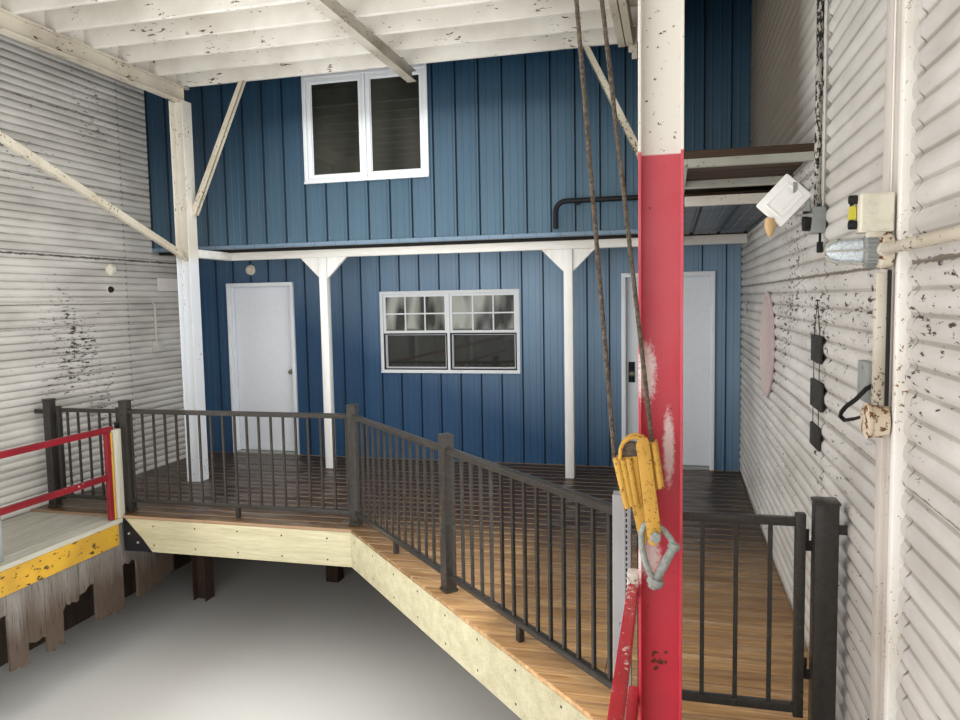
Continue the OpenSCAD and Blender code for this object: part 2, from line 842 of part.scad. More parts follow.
module glass_y(x, y, z, w, h) {
    pane = (w - 3 * win_bar) / 2;
    for (s = [0, 1]) translate([x - w / 2 + win_bar + s * (pane + win_bar), y, z + win_bar])
        cube([pane, glass_t, h - 2 * win_bar]);
}

module window_x(s, z, h) {
    x = s > 0 ? outer_x - win_d : -outer_x;
    translate([x, side_win_y - side_win_w / 2, z]) rotate([90, 0, 90]) linear_extrude(win_d)
        frame_outline(side_win_w, h, false);
}

module glass_x(s, z, h) {
    x = s * (outer_x - win_d / 2);
    translate([x - glass_t / 2, side_win_y - side_win_w / 2 + win_bar, z + win_bar])
        cube([glass_t, side_win_w - 2 * win_bar, h - 2 * win_bar]);
}

module lower_windows() {
    color("white") {
        window_y(low_win_x, porch_y, low_sill_z, low_win_w, low_win_h);
        window_y(0, back_y - win_d, low_sill_z, low_win_w, low_win_h);
        window_x(1, low_sill_z, low_win_h);
        window_x(-1, low_sill_z, low_win_h);
    }
}

module upper_windows() {
    color("white") {
        window_y(high_win_x, cabin_y, high_sill_z, high_win_w, high_win_h);
        window_y(0, back_y - win_d, high_sill_z, high_win_w, high_win_h);
        window_x(1, high_sill_z, high_win_h);
        window_x(-1, high_sill_z, high_win_h);
    }
}

module lower_glass() {
    color("lightblue") {
        glass_y(low_win_x, porch_y + win_d / 2, low_sill_z, low_win_w, low_win_h);
        glass_y(0, back_y - win_d / 2, low_sill_z, low_win_w, low_win_h);
        glass_x(1, low_sill_z, low_win_h);
        glass_x(-1, low_sill_z, low_win_h);
    }
}

module upper_glass() {
    color("lightblue") {
        glass_y(high_win_x, cabin_y + win_d / 2, high_sill_z, high_win_w, high_win_h);
        glass_y(0, back_y - win_d / 2, high_sill_z, high_win_w, high_win_h);
        glass_x(1, high_sill_z, high_win_h);
        glass_x(-1, high_sill_z, high_win_h);
    }
}

// Half of a lift-off hinge: a barrel on the axis and a plate that reaches dx from it
module hinge_half(x, y, z, dx) {
    back = y - hinge_off;
    translate([x, y, z]) cylinder(r = barrel_r, h = barrel_l);
    block([min(x, x + dx), back, z], [max(x, x + dx), back + hinge_plate_t, z + barrel_l]);
}

module door_frame(x, w, hinge_x, side) {
    y0 = porch_y;
    y1 = porch_y + wall_t;
    stop_y = y1 - leaf_t - leaf_gap;
    inner_half = w / 2 - jamb_t;
    difference() {
        block([x - w / 2, y0, deck_z], [x + w / 2, y1, deck_z + door_h]);
        block([x - inner_half, stop_y, deck_z + sill_h],
            [x + inner_half, y1 + eps, deck_z + door_h - jamb_t]);
        block([x - inner_half + stop_w, y0 - eps, deck_z + sill_h],
            [x + inner_half - stop_w, y1, deck_z + door_h - jamb_t - stop_w]);
    }
    for (z = hinge_levels(leaf_bottom, leaf_top))
        hinge_half(hinge_x, door_axis_y, z, -side * hinge_reach);
}

module left_door_frame() {
    color("white") door_frame(left_door_x, left_door_w, left_hinge_x, 1);
}

module right_door_frame() {
    color("white") door_frame(right_door_x, right_door_w, right_hinge_x, -1);
}

// A door leaf with its knobs and hinge halves; side is 1 with hinges at the left
module door_leaf(x, w, hinge_x, side) {
    half = w / 2 - jamb_t - leaf_gap;
    y1 = porch_y + wall_t;
    y0 = y1 - leaf_t;
    block([x - half, y0, leaf_bottom], [x + half, y1, leaf_top]);
    for (z = hinge_levels(leaf_bottom, leaf_top))
        hinge_half(hinge_x, door_axis_y, z + barrel_l + seat, side * stile_w);
    translate([x + side * (half - knob_in), 0, deck_z + knob_h]) rotate([90, 0, 0]) {
        translate([0, 0, -y0]) cylinder(r = knob_r, h = knob_r / 2);
        translate([0, 0, -y0]) cylinder(r = knob_r / 2, h = 1.6 * knob_r);
        translate([0, 0, -y0 + 1.6 * knob_r]) cylinder(r = knob_r, h = 0.8 * knob_r);
        translate([0, 0, -y1 - 2 * knob_r]) cylinder(r = knob_r, h = 2 * knob_r);
    }
}

module left_door() {
    color("whitesmoke") door_leaf(left_door_x, left_door_w, left_hinge_x, 1);
}

module right_door() {
    color("whitesmoke") door_leaf(right_door_x, right_door_w, right_hinge_x, -1);
}

// A railing post with a flat cap, on the deck
module railing_post(p, w, turn) {
    translate([p[0], p[1], deck_z]) rotate(turn) {
        translate([-w / 2, -w / 2, 0]) cube([w, w, rail_post_h]);
        translate([-w / 2 - cap_past, -w / 2 - cap_past, rail_post_h])
            cube([w + 2 * cap_past, w + 2 * cap_past, cap_t]);
    }
}

// A straight railing panel of length l along X, centred on the X axis
module railing_panel(l) {
    top = handrail_h - handrail_t;
    low = bottom_rail_z + bottom_rail_t;
    count = floor(l / baluster_step);
    first = (l - (count - 1) * baluster_step) / 2;
    translate([0, -handrail_w / 2, top]) cube([l, handrail_w, handrail_t]);
    translate([0, -bottom_rail_t / 2, bottom_rail_z]) cube([l, bottom_rail_t, bottom_rail_t]);
    for (i = [0:count - 1])
        translate([first + i * baluster_step - baluster_w / 2, -baluster_w / 2, low])
            cube([baluster_w, baluster_w, top - low]);
    translate([l / 2 - baluster_w, -baluster_w, 0]) cube([2 * baluster_w, 2 * baluster_w, bottom_rail_z]);
}

module panel_between(a, b) {
    d = b - a;
    translate([a[0], a[1], deck_z]) rotate(atan2(d[1], d[0])) railing_panel(norm(d));
}

module front_railing() {
    color("dimgray") difference() {
        panel_between(p2, p3);
        for (p = [p2, p3]) railing_post(p, rail_post_w, 0);
    }
}

module diagonal_railing() {
    color("dimgray") difference() {
        union() {
            panel_between(p3, p4);
            panel_between(p4, p5);
        }
        railing_post(p3, rail_post_w, 0);
        railing_post(p4, rail_post_w, rail_angle);
        railing_post(p5, rail_post_w, 0);
    }
}

module railing_posts() {
    color("dimgray") {
        for (p = [p1, p2, p3, p5]) railing_post(p, rail_post_w, 0);
        railing_post(p4, rail_post_w, rail_angle);
        railing_post(p6, hinge_post_w, 0);
        for (z = hinge_levels(gate_bottom, gate_top)) {
            hinge_half(left_gate_x, left_gate_axis_y, z, -hinge_reach);
            hinge_half(right_gate_x, right_gate_axis_y, z, hinge_reach);
        }
        block([-inner_x, p1[1] - bar_w / 2, bracket_z],
            [p1[0] - rail_post_w / 2, p1[1] - bar_w / 2 + plate_t, bracket_z + bar_w]);
        block([p6[0] + hinge_post_w / 2, p6[1] - bar_w / 2, bracket_z],
            [inner_x, p6[1] - bar_w / 2 + plate_t, bracket_z + bar_w]);
    }
}

// A gate of clear width w, hinged at x; side is 1 when it reaches towards +X
module gate(x, y, w, side) {
    back = y - hinge_off;
    near = gate_gap / 2;
    far = w - 1.5 * gate_gap;
    count = floor((far - near) / baluster_step);
    inset = (stile_w - bottom_rail_t) / 2;
    translate([x, 0, 0]) mirror([side < 0 ? 1 : 0, 0, 0]) {
        for (a = [near, far - stile_w])
            block([a, back - stile_w, gate_bottom], [a + stile_w, back, gate_top]);
        for (z = [gate_bottom + baluster_w, gate_top - bottom_rail_t - baluster_w])
            block([near + stile_w - eps, back - stile_w + inset, z],
                [far - stile_w + eps, back - inset, z + bottom_rail_t]);
        for (i = [1:count - 1]) translate([near + i * (far - near) / count, back - stile_w / 2, 0])
            block([-baluster_w / 2, -baluster_w / 2, gate_bottom + 2 * baluster_w],
                [baluster_w / 2, baluster_w / 2, gate_top - 2 * baluster_w]);
        for (z = hinge_levels(gate_bottom, gate_top))
            hinge_half(0, y, z + barrel_l + seat, stile_w);
    }
}

module left_gate() {
    clear = p2[0] - p1[0] - rail_post_w;
    color("dimgray") gate(left_gate_x, left_gate_axis_y, clear, 1);
}

module right_gate() {
    clear = p6[0] - p5[0] - rail_post_w / 2 - hinge_post_w / 2;
    color("dimgray") gate(right_gate_x, right_gate_axis_y, clear, -1);
}

module red_rails() {
    color("firebrick") for (h = rail_levels) {
        block([left_rail_x, front_y + red_rail_d, walkway_z + h - red_rail_d],
            [left_rail_x + red_rail_t, rail_end_y, walkway_z + h]);
        block([right_rail_x - red_rail_t, front_y + red_rail_d, walkway_z + h - red_rail_d],
            [right_rail_x, frame_y(1) - baluster_w, walkway_z + h]);
    }
}

module rail_posts() {
    color("white") {
        block([left_edge_x - rail_end_w, rail_end_y, walkway_z],
            [left_edge_x, deck_front_y, walkway_z + red_rail_h]);
        block([left_rail_x - red_rail_d, frame_y(1) + grey_post_y, walkway_z],
            [left_rail_x, frame_y(1) + grey_post_y + red_rail_d, walkway_z + red_rail_h]);
    }
}

module balcony_floor() {
    color("gray") block([balcony_x, balcony_y, balcony_z - balcony_board_t], [inner_x, cabin_y, balcony_z]);
}

module balcony_frame() {
    top = balcony_z - balcony_board_t;
    count = floor((cabin_y - balcony_y) / balcony_joist_step);
    color("silver") {
        block([balcony_x, balcony_y, balcony_joist_z], [inner_x, balcony_y + joist_t, top]);
        for (i = [1:count]) translate([0, balcony_y + i * balcony_joist_step, 0])
            block([balcony_x + joist_t - eps, 0, balcony_joist_z], [inner_x, joist_t, top]);
        block([balcony_x, balcony_y + joist_t - eps, balcony_joist_z], [balcony_x + joist_t, cabin_y, top]);
        block([balcony_x - hanger_w, balcony_y, balcony_joist_z],
            [balcony_x, balcony_y + joist_t, beam_z]);
    }
}

module balcony_soffit() {
    color("darkslateblue") block([balcony_x + joist_t, soffit_y, balcony_joist_z - soffit_t],
        [inner_x, cabin_y, balcony_joist_z]);
}

// A run of round pipe between two points that differ on one axis or more
module pipe(a, b, r) {
    d = b - a;
    l = norm(d);
    translate(a) rotate([0, acos(d[2] / l), atan2(d[1], d[0])]) cylinder(r = r, h = l);
}

module pipe_rail() {
    y = cabin_y - pipe_rail_out;
    z = deck_z + pipe_rail_h;
    end_x = balcony_x - joist_t;
    bend = 4 * pipe_rail_r;
    color("black") {
        pipe([pipe_rail_x + bend, y, z], [end_x, y, z], pipe_rail_r);
        pipe([pipe_rail_x, y, z - pipe_rail_drop], [pipe_rail_x, y, z - bend], pipe_rail_r);
        translate([pipe_rail_x + bend, y, z - bend]) rotate([90, 0, 0]) rotate(90)
            rotate_extrude(angle = 90) translate([bend, 0]) circle(r = pipe_rail_r);
        for (x = [pipe_rail_x + 2 * bend, end_x - 2 * bend])
            pipe([x, y, z], [x, cabin_y, z], pipe_rail_r / 2);
    }
}

module lift_cables() {
    color("sienna") for (s = [-0.5, 0.5])
        pipe([lift_beam_x + s * cable_top_gap, cable_y, loft_z - lift_beam_h - eps],
            [block_x + s * cable_low_gap, cable_y, block_z + eps], cable_r);
}

// Housing over the sheaves, two straps below it and the bolt that carries the shackle
module sheave_block() {
    half = cable_low_gap / 2 + 2 * cable_r;
    low = block_z - housing_h;
    color("gold") {
        along_y(cable_y - housing_t / 2, cable_y + housing_t / 2)
            polygon([[block_x - half, block_z], [block_x + half, block_z],
                [block_x + 1.3 * half, low + housing_h / 4], [block_x + half, low],
                [block_x - half / 2, low]]);
        for (y = [cable_y - housing_t / 2, cable_y + housing_t / 2 - strap_t])
            along_y(y, y + strap_t) polygon([[block_x - half / 3, low + eps],
                [block_x + half, low + eps], [bolt_x + 3 * bolt_r, bolt_z],
                [bolt_x, bolt_z - 3 * bolt_r], [bolt_x - 3 * bolt_r, bolt_z]]);
        pipe([bolt_x, cable_y - housing_t / 2 - strap_t, bolt_z],
            [bolt_x, cable_y + housing_t / 2 + eps, bolt_z], bolt_r);
    }
}

module shackle() {
    ring_r = shackle_r + shackle_bar_r;
    color("silver") translate([bolt_x, cable_y, bolt_z + bolt_r + seat - shackle_r]) rotate([90, 0, 0])
        rotate_extrude() translate([ring_r, 0]) circle(r = shackle_bar_r);
}

module wall_lights() {
    head_y = box_y - box_w / 2;
    arm_z = deck_z + box_h + box_w / 2;
    color("whitesmoke") {
        translate([inner_x - flood_in, head_y - fitting_t / 2, deck_z + flood_h])
            rotate([0, -flood_turn, 0]) cube([flood_w, fitting_t, flood_d], center = true);
        block([inner_x - flood_in, head_y - eps, arm_z - bar_w / 2],
            [inner_x - box_d, head_y + bar_w, arm_z + bar_w / 2]);
        translate([column_x, fitting_y, deck_z + jar_h]) rotate([0, -90, 0])
            cylinder(r = jar_r, h = jar_reach);
    }
}

module wall_conduits() {
    corner_y = cabin_y - box_w / 5;
    color("lightgray") {
        block([column_x - 0.8 * box_w, fitting_y - box_w / 3, deck_z + cream_box_h],
            [column_x, fitting_y + box_w / 3, deck_z + cream_box_h + box_w]);
        translate([column_x, fitting_y, deck_z + round_box_h]) rotate([0, -90, 0])
            cylinder(r = round_box_r, h = 0.54 * box_w);
        block([column_x - bar_w, fitting_y - bar_w / 2, deck_z + round_box_h + round_box_r - eps],
            [column_x, fitting_y + bar_w / 2, deck_z + jar_h - jar_r - seat]);
        block([inner_x - fitting_t, column_y + column_w, deck_z + small_box_h],
            [inner_x, column_y + column_w + 1.3 * box_w, deck_z + small_box_h + 1.2 * box_w]);
        block([inner_x - box_d, box_y - box_w / 2, deck_z + box_h],
            [inner_x, box_y + box_w / 2, deck_z + box_h + box_w]);
        pipe([inner_x - box_d / 2, box_y, deck_z + box_h + box_w - eps],
            [inner_x - box_d / 2, box_y, roof_under(inner_x) - eps], conduit_r);
        block([-inner_x, corner_y - box_w / 2, deck_z + left_conduit_h - 4.7 * box_w],
            [-inner_x + box_w / 2, corner_y + box_w / 2, deck_z + left_conduit_h - 3.7 * box_w]);
        pipe([-inner_x + conduit_r, corner_y, deck_z + left_conduit_h - 3.8 * box_w],
            [-inner_x + conduit_r, corner_y, deck_z + left_conduit_h], conduit_r);
        pipe([-inner_x + conduit_r, corner_y, deck_z + left_conduit_h],
            [-inner_x + conduit_r, column_y + column_w / 2 + eps, deck_z + left_conduit_h], conduit_r);
    }
}

bulkhead();
left_wall();
right_wall();
wall_columns();
left_cabin_wall();
right_cabin_wall();
back_wall();
front_gable();
upper_front_wall();
front_wall_left();
front_wall_middle();
front_wall_right();
front_wall_head();
roof_left();
roof_right();
ridge_cap();
steel_posts();
red_post();
side_beams();
middle_beam();
lift_beam();
loft_joists();
loft_boards();
braces();
walkways();
edge_beams();
edge_planks();
deck();
deck_frame();
corner_plate();
porch_header();
porch_posts();
lower_floor();
upper_floor();
lower_windows();
upper_windows();
lower_glass();
upper_glass();
left_door_frame();
right_door_frame();
left_door();
right_door();
front_railing();
diagonal_railing();
railing_posts();
left_gate();
right_gate();
red_rails();
rail_posts();
balcony_floor();
balcony_frame();
balcony_soffit();
pipe_rail();
lift_cables();
sheave_block();
shackle();
wall_lights();
wall_conduits();
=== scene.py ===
# Looks of the boathouse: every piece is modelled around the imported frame, in metres.
import bmesh
import bpy
import math
import random
from functools import partial
from mathutils import Matrix, Vector


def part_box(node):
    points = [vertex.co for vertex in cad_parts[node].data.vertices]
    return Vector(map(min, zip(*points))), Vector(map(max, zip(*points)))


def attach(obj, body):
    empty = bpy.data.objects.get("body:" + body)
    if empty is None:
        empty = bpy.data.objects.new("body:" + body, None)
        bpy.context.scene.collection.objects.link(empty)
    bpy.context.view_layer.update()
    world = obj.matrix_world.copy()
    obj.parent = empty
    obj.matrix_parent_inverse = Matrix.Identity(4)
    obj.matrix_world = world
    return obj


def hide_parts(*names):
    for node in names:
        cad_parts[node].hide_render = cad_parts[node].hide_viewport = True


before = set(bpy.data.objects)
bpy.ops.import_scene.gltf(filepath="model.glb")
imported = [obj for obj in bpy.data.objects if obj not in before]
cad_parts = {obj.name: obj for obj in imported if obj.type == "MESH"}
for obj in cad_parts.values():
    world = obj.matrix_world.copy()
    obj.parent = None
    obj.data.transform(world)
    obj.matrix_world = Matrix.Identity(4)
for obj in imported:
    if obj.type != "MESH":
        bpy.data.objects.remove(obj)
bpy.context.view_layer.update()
HOUSE = "boathouse"
chance = random.Random(11)
X, Y, Z = Vector((1, 0, 0)), Vector((0, 1, 0)), Vector((0, 0, 1))


# Places that the source gives, in metres

def low_of(node):
    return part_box(node)[0]


def high_of(node):
    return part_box(node)[1]


WALL = high_of("right_wall").x
INNER = low_of("right_wall").x
FRONT = low_of("right_wall").y
CABIN = high_of("right_wall").y
BACK = high_of("right_cabin_wall").y
WALL_LOW = low_of("right_wall").z
EAVES = 6.18
RIDGE = 7.01
SLOPE = (RIDGE - EAVES) / WALL
DECK = high_of("deck").z
PORCH = low_of("front_wall_left").y
WALKWAY = high_of("walkways").z
EDGE_LEFT = -2.17
EDGE_RIGHT = 2.3
DECK_FRONT = low_of("deck_frame").y + 2.29
DECK_GATE = low_of("deck").y
KNEE = -0.02
CORNER = 2.15
FRAMES = (3.455, -0.525, -4.505, -8.485)
POST_LEFT = -2.320
POST_RIGHT = 2.442
POST = 0.152
BEAM_LOW = high_of("steel_posts").z
LOFT = low_of("loft_joists").z
PITCH = 0.0695
GROOVE = 4.036
RIGHT_PITCH = 0.0762
RIGHT_GROOVE = 3.645
BOARD_STEP = 0.145
DECK_T = 0.028
WAVE = 0.014
RIB = 0.2366
UPPER_RIB = 0.1454
LOWER_RIB = 0.1634


def under_roof(x):
    return RIDGE - SLOPE * abs(x)


# The camera stands on the right walkway, at eye height, as the photographer did

def photo_camera():
    data = bpy.data.cameras.new("photo_camera")
    data.sensor_width = 36
    data.lens = 28.06
    data.clip_start = 0.05
    data.clip_end = 150
    camera = bpy.data.objects.new("photo_camera", data)
    right = Vector((0.96866, 0.24771, -0.01797))
    down = Vector((0.00240, -0.08169, -0.99666))
    ahead = Vector((-0.24835, 0.96538, -0.07973))
    turn = Matrix((right, -down, -ahead)).transposed()
    camera.matrix_world = Matrix.Translation((2.48, -3.275, 3.10)) @ turn.to_4x4()
    bpy.context.scene.collection.objects.link(camera)
    bpy.context.scene.camera = camera


photo_camera()


# Materials

def linear(code):
    """A colour written as sRGB hex, made linear"""
    parts = [int(code[i:i + 2], 16) / 255 for i in (0, 2, 4)]
    return tuple(p / 12.92 if p <= 0.04045 else ((p + 0.055) / 1.055) ** 2.4 for p in parts) + (1.0,)


def add_node(tree, kind, inputs=(), out=0, **settings):
    """Adds a node with its settings; inputs, by name or in order, are values or sockets. Gives one output"""
    node = tree.nodes.new("ShaderNode" + kind)
    for key, value in settings.items():
        setattr(node, key, value)
    for key, value in inputs.items() if isinstance(inputs, dict) else enumerate(inputs):
        if isinstance(value, bpy.types.NodeSocket):
            tree.links.new(value, node.inputs[key])
        else:
            node.inputs[key].default_value = value
    return node.outputs[out]


def begin(name, **constants):
    """A new material with its shader, what adds nodes to it, and the coordinates that its patterns read"""
    material = bpy.data.materials.new(name)
    material.use_nodes = True
    shader = material.node_tree.nodes["Principled BSDF"]
    for key, value in constants.items():
        shader.inputs[key.replace("_", " ")].default_value = value
    add = partial(add_node, material.node_tree)
    return material, shader, add, add("TexCoord", out="Object")


def surface(shader, add, colour, rough=None, height=None, depth=0.001, strength=0.6):
    """Joins colour, roughness and relief to the shader"""
    links = shader.id_data.links
    links.new(colour, shader.inputs["Base Color"])
    if rough is not None:
        links.new(rough, shader.inputs["Roughness"])
    if height is not None:
        relief = add("Bump", {"Height": height, "Distance": depth, "Strength": strength})
        links.new(relief, shader.inputs["Normal"])


def painted_steel(name, paint, faded, chip, rough=0.4, chipped=0.66, chip_mm=30, drag=(1, 1, 1), below=()):
    """Brushed gloss paint on rolled steel: faded patches, small chips down to rust, soft orange peel"""
    material, shader, add, coords = begin(name, IOR=1.45)
    cloud = add("TexNoise", {"Vector": coords, "Scale": 2.3, "Detail": 4.0})
    fade = add("MapRange", [cloud, 0.38, 0.68])
    tone = add("Mix", {0: fade, 6: linear(paint), 7: linear(faded)}, out=2, data_type="RGBA")
    z = add("SeparateXYZ", [coords], out="Z")
    for other, height in below:
        low = add("MapRange", [z, height, height - 0.12])
        tone = add("Mix", {0: low, 6: tone, 7: linear(other)}, out=2, data_type="RGBA")
    pulled = add("Mapping", {"Vector": coords, "Scale": drag})
    flakes = add("TexNoise", {"Vector": pulled, "Scale": 1000 / chip_mm, "Detail": 7.0, "Roughness": 0.62})
    near = add("TexNoise", {"Vector": coords, "Scale": 3.1, "Detail": 2.0})
    both = add("Math", [flakes, add("MapRange", [near, 0.3, 0.7, -0.08, 0.08])], operation="ADD")
    bare = add("MapRange", [both, chipped, chipped + 0.03])
    colour = add("Mix", {0: bare, 6: tone, 7: linear(chip)}, out=2, data_type="RGBA")
    matt = add("MapRange", [bare, 0.0, 1.0, rough, 0.8])
    peel = add("TexNoise", {"Vector": coords, "Scale": 320.0, "Detail": 2.0})
    relief = add("Math", [add("Math", [peel, 0.18], operation="MULTIPLY"), bare], operation="SUBTRACT")
    surface(shader, add, colour, matt, relief, 0.0008, 0.5)
    return material


def timber(name, light, dark, knot, along, rough=0.65, grain_mm=7, knots=0.5, painted=False):
    """Sawn softwood with its grain along one axis: streaks, knots, and a lifted grain that catches light"""
    material, shader, add, coords = begin(name, IOR=1.45)
    squeeze = [1.0, 1.0, 1.0]
    squeeze[along] = 0.06
    fibres = add("Mapping", {"Vector": coords, "Scale": squeeze})
    wander = add("TexNoise", {"Vector": coords, "Scale": 1.7, "Detail": 2.0}, out="Color")
    bent = add("MixRGB", {"Fac": 0.02, "Color1": fibres, "Color2": wander}, blend_type="ADD")
    grain = add("TexNoise", {"Vector": bent, "Scale": 1000 / grain_mm, "Detail": 6.0, "Roughness": 0.65})
    broad = add("TexNoise", {"Vector": bent, "Scale": 14.0, "Detail": 3.0})
    mixed = add("Math",
                [add("Math", [grain, 0.55], operation="MULTIPLY"),
                 add("Math", [broad, 0.45], operation="MULTIPLY")], operation="ADD")
    streak = add("MapRange", [mixed, 0.36, 0.64])
    tone = add("Mix", {0: streak, 6: linear(light), 7: linear(dark)}, out=2, data_type="RGBA")
    squeeze[along] = 0.45
    sites = add("Mapping", {"Vector": coords, "Scale": squeeze})
    eyes = add("TexVoronoi", {"Vector": sites, "Scale": 4.2, "Randomness": 1.0})
    core = add("MapRange", [eyes, 0.035, 0.095, knots, 0.0])
    colour = add("Mix", {0: core, 6: tone, 7: linear(knot)}, out=2, data_type="RGBA")
    height = add("Math", [grain, core], operation="SUBTRACT")
    matt = add("MapRange", [streak, 0.0, 1.0, rough - 0.08, rough + 0.1])
    surface(shader, add, colour, matt, height, 0.0012 if painted else 0.002, 0.45)
    return material


# dirt is the colour laid on in the hollows, laps and seams: dust and painted shade together
def corrugated_paint(name, paint, grey, dirt, bare, pitch, groove, laps, seams, worn, shade_above_balcony=None):
    """White paint on corrugated steel: hollows darkened by painted shade and some dust, painted shadow lines
    at the laps and cut edges, an optional painted shade high above the balcony, flakes lifting off old zinc
    """
    material, shader, add, coords = begin(name, IOR=1.45)
    y = add("SeparateXYZ", [coords], out="Y")
    z = y.node.outputs["Z"]
    turn = add("Math", [z, 2 * math.pi / pitch, math.pi / 2 - 2 * math.pi * groove / pitch],
               operation="MULTIPLY_ADD")
    wave = add("Math", [turn], operation="SINE")
    smear = add("TexNoise",
                {"Vector": add("Mapping", {"Vector": coords, "Scale": (1.0, 0.5, 2.0)}), "Scale": 2.2,
                 "Detail": 5.0, "Roughness": 0.6})
    tone = add("Mix", {0: add("MapRange", [smear, 0.35, 0.7]), 6: linear(paint), 7: linear(grey)}, out=2,
               data_type="RGBA")
    # Darker in the hollows of the waves: painted shade, mixed with a little dust
    groove_shade_and_dust = add("MapRange", [wave, 0.74, 0.93, 0.0, 0.6])
    grime = add("Math", [groove_shade_and_dust, add("MapRange", [smear, 0.3, 0.6, 0.4, 1.0])], operation="MULTIPLY")
    long = add("Mapping", {"Vector": coords, "Scale": (1.0, 0.28, 1.0)})
    flakes = add("TexNoise", {"Vector": long, "Scale": 44.0, "Detail": 8.0, "Roughness": 0.68})
    waver = add("MapRange", [flakes, 0.0, 1.0, -0.02, 0.02])
    # Dark lines at the laps of the sheets: painted shadow of the lapped edges
    for height, half, dark in laps:
        line = add("Math", [add("Math", [z, waver], operation="ADD"), height, half], operation="COMPARE")
        grime = add("Math", [grime, add("Math", [line, dark], operation="MULTIPLY")], operation="MAXIMUM")
    # Dark jagged lines at the cut edges of the sheets: painted shadow of the edges
    for place in seams:
        edge = add("Math", [wave, 0.006, y], operation="MULTIPLY_ADD")
        line = add("Math", [edge, place, 0.006], operation="COMPARE")
        jagged_seam_shadow = add("MapRange", [add("Math", [wave, flakes], operation="ADD"), -0.1, 1.3, 0.1, 1.0])
        grime = add("Math", [grime, add("Math", [line, jagged_seam_shadow], operation="MULTIPLY")], operation="MAXIMUM")
    # Darker high on the far part of the wall, above the balcony floor: painted shade
    if shade_above_balcony:
        far = add("MapRange", [y, shade_above_balcony[0], shade_above_balcony[0] + 0.6, 0.0, 0.97])
        high = add("MapRange", [z, shade_above_balcony[1], shade_above_balcony[1] + 0.3])
        shade_above_balcony_mask = add("Math", [far, high], operation="MULTIPLY")
        grime = add("Math", [grime, shade_above_balcony_mask], operation="MAXIMUM")
    # The dirt colour goes on where the masks say: dust and painted shade together
    dust_and_painted_shade = add("Mix", {0: grime, 6: tone, 7: linear(dirt)}, out=2, data_type="RGBA")
    where = add("TexNoise", {"Vector": coords, "Scale": 1.15, "Detail": 3.0})
    lifted = add("Math", [flakes, add("MapRange", [where, 0.3, 0.7, -0.12, 0.078])], operation="ADD")
    off = add("Math", [add("Math", [z, worn[0]], operation="SUBTRACT")], operation="ABSOLUTE")
    band = add("MapRange", [off, 0.0, worn[1], 0.045, 0.0])
    lifted = add("Math", [lifted, band], operation="ADD")
    gone = add("MapRange", [lifted, 0.645, 0.668])
    colour = add("Mix", {0: gone, 6: dust_and_painted_shade, 7: linear(bare)}, out=2, data_type="RGBA")
    matt = add("MapRange", [gone, 0.0, 1.0, 0.5, 0.85])
    brush = add("TexNoise", {"Vector": long, "Scale": 260.0, "Detail": 3.0})
    relief = add("Math", [add("Math", [brush, 0.25], operation="MULTIPLY"), gone], operation="SUBTRACT")
    surface(shader, add, colour, matt, relief, 0.0012, 0.6)
    return material


# dark is the colour of the painted shade beside the ribs
def prepainted_sheet(name, coat, lit_tone, dark, shift, shaded_at, lit_at, light_lean=0.0):
    """Factory-painted ribbed steel: even satin coat, lighter towards one end and one side as painted light,
    dark lines beside the ribs as painted shade
    """
    material, shader, add, coords = begin(name, IOR=1.5)
    x = add("SeparateXYZ", [coords], out="X")
    tall = add("Mapping", {"Vector": coords, "Scale": (2.0, 2.0, 0.35)})
    cloud = add("TexNoise", {"Vector": tall, "Scale": 1.6, "Detail": 3.0, "Roughness": 0.5})
    # Lighter towards one height and one side, mottled: painted light
    place = add("Math", [x, light_lean, x.node.outputs["Z"]], operation="MULTIPLY_ADD")
    rise = add("MapRange", [place, shaded_at, lit_at])
    painted_light = add("Math", [rise, add("MapRange", [cloud, 0.3, 0.7, 0.8, 1.0])], operation="MULTIPLY")
    coat_and_painted_light = add("Mix", {0: painted_light, 6: linear(coat), 7: linear(lit_tone)}, out=2, data_type="RGBA")
    across = add("Math", [add("Math", [x, 1 / RIB, -shift / RIB], operation="MULTIPLY_ADD")],
                 operation="FRACT")
    # A dark line at one foot of each rib and a thinner one at the other foot: painted shade
    shade = add("Math", [across, 0.015 / RIB, 0.0075 / RIB], operation="COMPARE")
    thin = add("Math", [across, 1 - 0.0225 / RIB, 0.0035 / RIB], operation="COMPARE")
    rib_shade_lines = add("Math", [thin, 0.45, shade], operation="MULTIPLY_ADD")
    colour = add("Mix", {0: add("Math", [rib_shade_lines, 0.85], operation="MULTIPLY"), 6: coat_and_painted_light, 7: linear(dark)},
                 out=2, data_type="RGBA")
    matt = add("MapRange", [cloud, 0.3, 0.7, 0.36, 0.46])
    wavy = add("TexNoise", {"Vector": coords, "Scale": 5.5, "Detail": 2.0})
    surface(shader, add, colour, matt, wavy, 0.003, 0.3)
    return material


